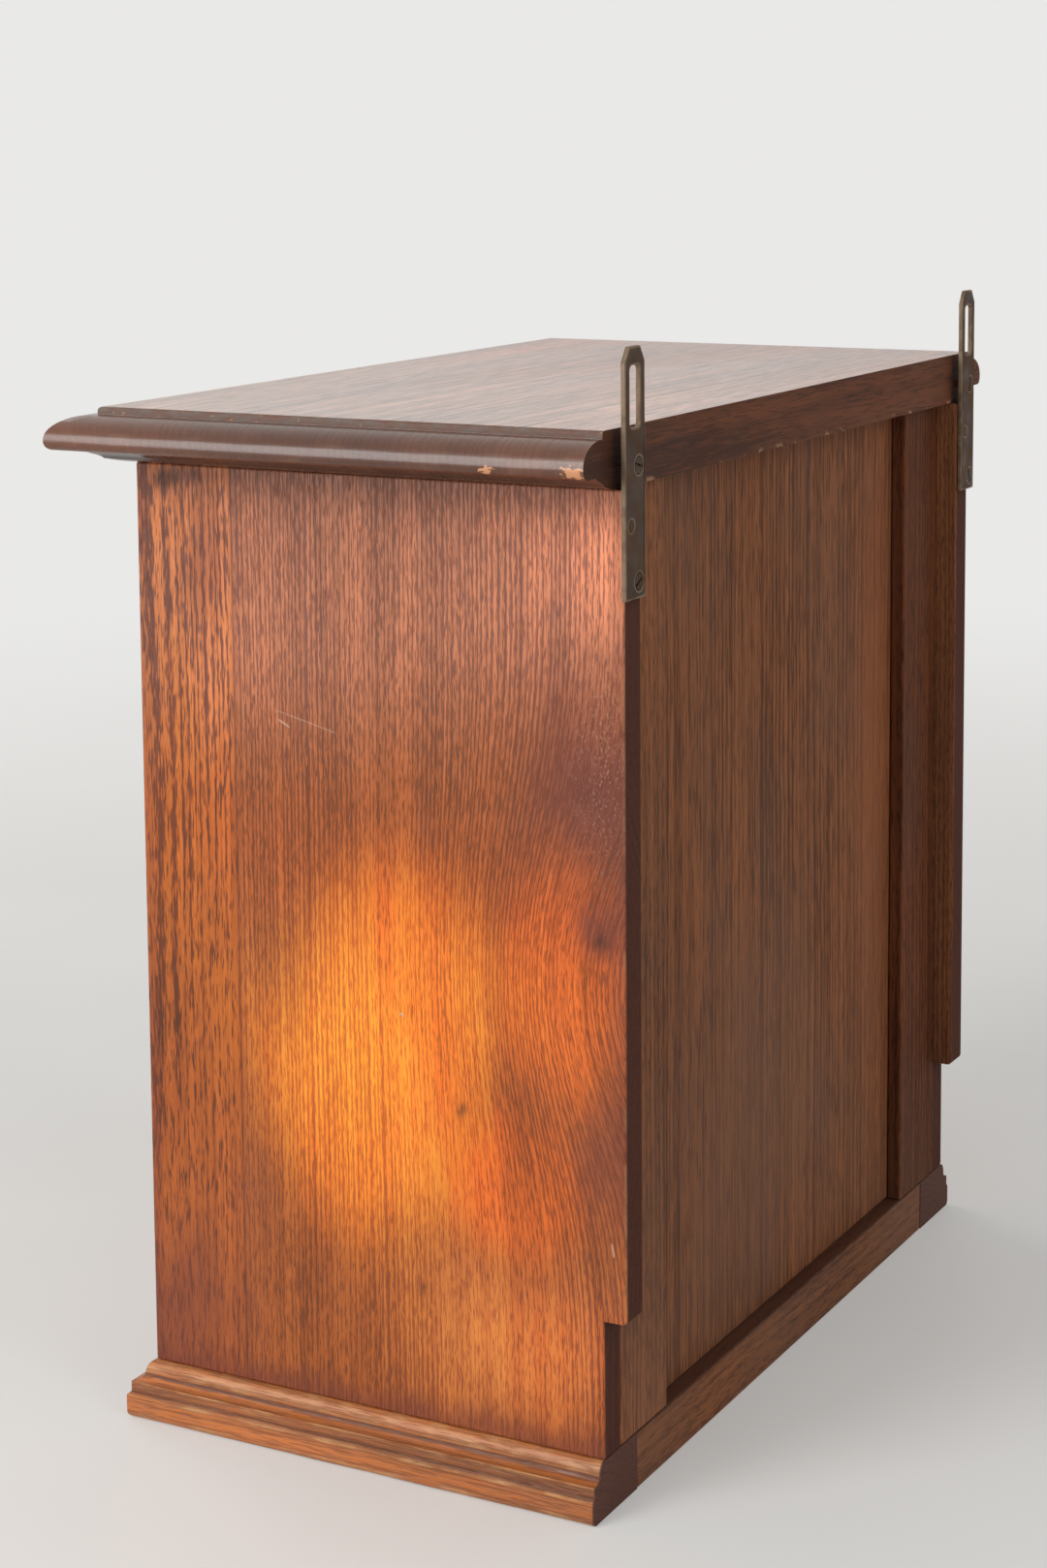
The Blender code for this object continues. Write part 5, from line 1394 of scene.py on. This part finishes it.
def build_door(settings):
    """Stiles, rails and panel of the door get their varnish."""
    colours = settings.varnished_oak
    boards = {
        "door_stile_hinge": Cut("Z", (0.06, 0.04), ring=0.003),
        "door_stile_lock": Cut("Z", (-0.07, 0.05), ring=0.003),
        "door_rail_top": Cut("X", (0.05, 0.05), ring=0.003),
        "door_rail_bottom": Cut("X", (-0.06, 0.04), ring=0.003),
        "door_panel": Cut("Z", (0.02, 0.09), ring=0.0034, sway=0.016),
    }
    for number, (node, cut) in enumerate(boards.items()):
        n, figure, wood = varnished_board(node + "_oak", node, cut, colours, 0.47 * number + 0.1)
        low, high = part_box(node)
        wood = patchy_varnish(n, wood, colours, 0.21 * number)
        if node == "door_panel":
            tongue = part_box("door_stile_hinge")[1].x - low.x
            dirt = n.border(n.place(), low, high, tongue, width=0.009, share=0.7)
            wood = n.mix(dirt, wood, colours.pore)
        wood = n.mix(worn_edges(n, low, high, width=0.0020, share=0.5), wood, colours.rubbed)
        grain_bump(n, figure, depth=0.0003)
        gloss = varnish_gloss(n, figure, colours.roughness)
        put_on(node, n.finish(wood, gloss, coat=0.22, coat_roughness=0.30))


def metal_finish(
    name, bright, dull, rubbed, roughness, spots, metallic=1.0, specks=0.5, specular=0.5, pits=0.5
):
    """A metal with stains in patches, so many to a metre, and bright, rubbed edges."""
    n = Finish(name)
    place = n.place()
    scale = Vector((spots, spots, spots))
    stain = n.span(n.noise(place, scale, 5.0), 0.36, 0.66)
    speck = n.span(n.noise(place, scale * 7, 3.0), 0.55, 0.75)
    colour = n.mix(stain, dull, bright)
    colour = n.mix(n.times(speck, specks), colour, dull)
    ragged = n.span(n.noise(place, (150, 150, 150), 2.0), 0.34, 0.62, 0.40, 0.80)
    colour = n.mix(n.times(n.attribute("rub"), ragged), colour, rubbed)
    rough = n.span(n.noise(place, scale * 2, 4.0), 0.3, 0.7, roughness * 0.75, roughness * 1.3)
    n.bump(n.plus(stain, speck), 0.00012, pits)
    return n.finish(colour, rough, metallic=metallic, specular=specular)


def brass_finish(name, metal):
    return metal_finish(name, metal.brass, metal.brass_dull, metal.brass, roughness=0.34, spots=110)


def steel_finish(name, metal):
    return metal_finish(name, metal.steel, metal.steel_dull, metal.steel, roughness=0.42, spots=140)


def iron_finish(name, metal):
    return metal_finish(
        name,
        metal.iron,
        metal.iron_dark,
        metal.iron_bright,
        roughness=0.55,
        spots=60,
        metallic=0.20,
        specks=0.2,
        specular=0.12,
        pits=0.2,
    )


def build_stage(settings):
    """A pale floor, soft light and the camera."""
    stage = settings.stage
    build_floor(stage)
    build_light(stage)
    build_camera(stage)


def seen_rays(n):
    """1 for the rays that show the backdrop: to the camera, in a reflection or through glass."""
    rays = n.add("ShaderNodeLightPath", {}).outputs
    return n.most(n.most(rays["Is Camera Ray"], rays["Is Glossy Ray"]), rays["Is Transmission Ray"])


def build_floor(stage):
    """A round floor that fades into the backdrop far away."""
    bm = bmesh.new()
    bmesh.ops.create_circle(bm, cap_ends=True, segments=64, radius=FLOOR_RADIUS)
    mesh = bpy.data.meshes.new("floor")
    bm.to_mesh(mesh)
    bm.free()
    n = Finish("floor_paper")
    place = n.place()
    tone = n.span(n.noise(place, (3, 3, 3)), 0.3, 0.7, 0.97, 1.03)
    material = n.finish(n.toned(stage.floor, tone), 0.6, specular=0.2)
    far = n.span(n.vector("LENGTH", place), FADE_START, FADE_END, FADE_LEAST, 1.0)
    glow = n.add("ShaderNodeEmission", {"Color": stage.backdrop, "Strength": 1.0}).outputs[0]
    inputs = {0: n.times(far, seen_rays(n)), 1: n.shader.outputs[0], 2: glow}
    blend = n.add("ShaderNodeMixShader", inputs)
    n.feed(n.tree.nodes["Material Output"].inputs["Surface"], blend.outputs[0])
    mesh.materials.append(material)
    floor = bpy.data.objects.new("floor", mesh)
    bpy.context.scene.collection.objects.link(floor)
    floor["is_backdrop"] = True


def build_light(stage):
    """Even light from all round, two soft lamps at the right, and weak ones in front and behind."""
    scene = bpy.context.scene
    world = bpy.data.worlds.new("pale_room")
    scene.world = world
    world.use_nodes = True
    n = Nodes(world.node_tree)
    ambient = n.tree.nodes["Background"]
    n.feed(ambient.inputs["Color"], AMBIENT_COLOUR)
    n.feed(ambient.inputs["Strength"], stage.ambient)
    backdrop = n.add("ShaderNodeBackground", {"Color": stage.backdrop})
    inputs = {0: seen_rays(n), 1: ambient.outputs[0], 2: backdrop.outputs[0]}
    blend = n.add("ShaderNodeMixShader", inputs)
    n.feed(n.tree.nodes["World Output"].inputs["Surface"], blend.outputs[0])
    for name, size, place in LAMPS:
        lamp = bpy.data.lights.new(name + "_lamp", "AREA")
        lamp.shape = "ELLIPSE"
        lamp.size, lamp.size_y = size
        lamp.energy = getattr(stage, name + "_power")
        obj = bpy.data.objects.new(name + "_lamp", lamp)
        turn = (LAMP_AIM - Vector(place)).to_track_quat("-Z", "Y").to_matrix().to_4x4()
        obj.matrix_world = Matrix.Translation(place) @ turn
        obj.visible_camera = False
        scene.collection.objects.link(obj)


def build_camera(stage):
    """The camera, which looks at the back and the right side."""
    data = bpy.data.cameras.new("camera")
    data.lens = stage.lens
    data.sensor_width = SENSOR_WIDTH
    data.shift_y = stage.lens_shift
    camera = bpy.data.objects.new("camera", data)
    back = CAMERA_BACK.normalized()
    right = (CAMERA_RIGHT - back * CAMERA_RIGHT.dot(back)).normalized()
    up = back.cross(right)
    turn = Matrix((right, up, back)).transposed().to_4x4()
    camera.matrix_world = Matrix.Translation(stage.camera_place) @ turn
    bpy.context.scene.collection.objects.link(camera)
    bpy.context.scene.camera = camera


class CABINET_OT_top_board(Operator):
    """Models the moulded top board and gives it its dark varnish"""

    bl_idname = "cabinet.top_board"
    bl_label = "Top board"

    def execute(self, context):
        build_top_board(context.scene.cabinet)
        return {"FINISHED"}


class CABINET_OT_base_mouldings(Operator):
    """Models the three base mouldings and varnishes them"""

    bl_idname = "cabinet.base_mouldings"
    bl_label = "Base mouldings"

    def execute(self, context):
        build_base_mouldings(context.scene.cabinet)
        return {"FINISHED"}


class CABINET_OT_sides(Operator):
    """Varnishes the two sides"""

    bl_idname = "cabinet.sides"
    bl_label = "Sides"

    def execute(self, context):
        build_sides(context.scene.cabinet)
        return {"FINISHED"}


class CABINET_OT_back(Operator):
    """Finishes the back frame and panel in bare wood"""

    bl_idname = "cabinet.back"
    bl_label = "Back"

    def execute(self, context):
        build_back(context.scene.cabinet)
        return {"FINISHED"}


class CABINET_OT_inside(Operator):
    """Finishes the floor, shelf, bearers and door stop in bare wood"""

    bl_idname = "cabinet.inside"
    bl_label = "Inside"

    def execute(self, context):
        build_inside(context.scene.cabinet)
        return {"FINISHED"}


class CABINET_OT_door(Operator):
    """Varnishes the frame and the panel of the door"""

    bl_idname = "cabinet.door"
    bl_label = "Door"

    def execute(self, context):
        build_door(context.scene.cabinet)
        return {"FINISHED"}


class CABINET_OT_hanger_plates(Operator):
    """Models the two slotted iron plates that the cabinet hangs by"""

    bl_idname = "cabinet.hanger_plates"
    bl_label = "Hanger plates"

    def execute(self, context):
        build_hanger_plates(context.scene.cabinet)
        return {"FINISHED"}


class CABINET_OT_screws(Operator):
    """Models the slotted screws, the nails and the pins"""

    bl_idname = "cabinet.screws"
    bl_label = "Screws"

    def execute(self, context):
        build_screws(context.scene.cabinet)
        return {"FINISHED"}


class CABINET_OT_hinges(Operator):
    """Rounds the edges of the butt hinges and finishes them in worn brass"""

    bl_idname = "cabinet.hinges"
    bl_label = "Hinges"

    def execute(self, context):
        build_hinges(context.scene.cabinet)
        return {"FINISHED"}


class CABINET_OT_lock(Operator):
    """Rounds the edges of the lock, bolt, keeper and nut and finishes them in iron and steel"""

    bl_idname = "cabinet.lock"
    bl_label = "Lock"

    def execute(self, context):
        build_lock(context.scene.cabinet)
        return {"FINISHED"}


class CABINET_OT_escutcheon(Operator):
    """Models the oval plate round the keyhole"""

    bl_idname = "cabinet.escutcheon"
    bl_label = "Escutcheon"

    def execute(self, context):
        build_escutcheon(context.scene.cabinet)
        return {"FINISHED"}


class CABINET_OT_knob(Operator):
    """Turns the brass knob of the door"""

    bl_idname = "cabinet.knob"
    bl_label = "Knob"

    def execute(self, context):
        build_knob(context.scene.cabinet)
        return {"FINISHED"}


class CABINET_OT_stage(Operator):
    """Sets up the floor, the light and the camera"""

    bl_idname = "cabinet.stage"
    bl_label = "Stage"

    def execute(self, context):
        build_stage(context.scene.cabinet)
        return {"FINISHED"}


STEPS = (
    CABINET_OT_top_board,
    CABINET_OT_base_mouldings,
    CABINET_OT_sides,
    CABINET_OT_back,
    CABINET_OT_inside,
    CABINET_OT_door,
    CABINET_OT_hanger_plates,
    CABINET_OT_screws,
    CABINET_OT_hinges,
    CABINET_OT_lock,
    CABINET_OT_escutcheon,
    CABINET_OT_knob,
    CABINET_OT_stage,
)
GROUPS = (
    TopSizes,
    BaseSizes,
    PlateSizes,
    KnobSizes,
    KeyholeSizes,
    VarnishedOak,
    DarkOak,
    BaseOak,
    BareOak,
    MetalColours,
    StageSettings,
    CabinetSettings,
)


class CABINET_PT_finish(Panel):
    """Lists the steps that finish the cabinet"""

    bl_label = "Cabinet finish"
    bl_space_type = "VIEW_3D"
    bl_region_type = "UI"
    bl_category = "Cabinet"

    def draw(self, context):
        for step in STEPS:
            self.layout.operator(step.bl_idname)


def register():
    for group in (*GROUPS, *STEPS, CABINET_PT_finish):
        bpy.utils.register_class(group)
    bpy.types.Scene.cabinet = PointerProperty(type=CabinetSettings)


def unregister():
    del bpy.types.Scene.cabinet
    for group in reversed((*GROUPS, *STEPS, CABINET_PT_finish)):
        bpy.utils.unregister_class(group)


def write_sizes():
    """Makes the box of the CAD model and the box of the finished one, and keeps neither."""
    boxes = {"cad": CAD_BOX, "visual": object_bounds()}
    {name: [list(corner) for corner in box] for name, box in boxes.items()}


def main():
    bpy.context.scene.view_settings.view_transform = "Standard"
    register()
    bpy.ops.cabinet.top_board()
    bpy.ops.cabinet.base_mouldings()
    bpy.ops.cabinet.sides()
    bpy.ops.cabinet.back()
    bpy.ops.cabinet.inside()
    bpy.ops.cabinet.door()
    bpy.ops.cabinet.hanger_plates()
    bpy.ops.cabinet.screws()
    bpy.ops.cabinet.hinges()
    bpy.ops.cabinet.lock()
    bpy.ops.cabinet.escutcheon()
    bpy.ops.cabinet.knob()
    bpy.ops.cabinet.stage()
    write_sizes()


if __name__ == "__main__":
    main()
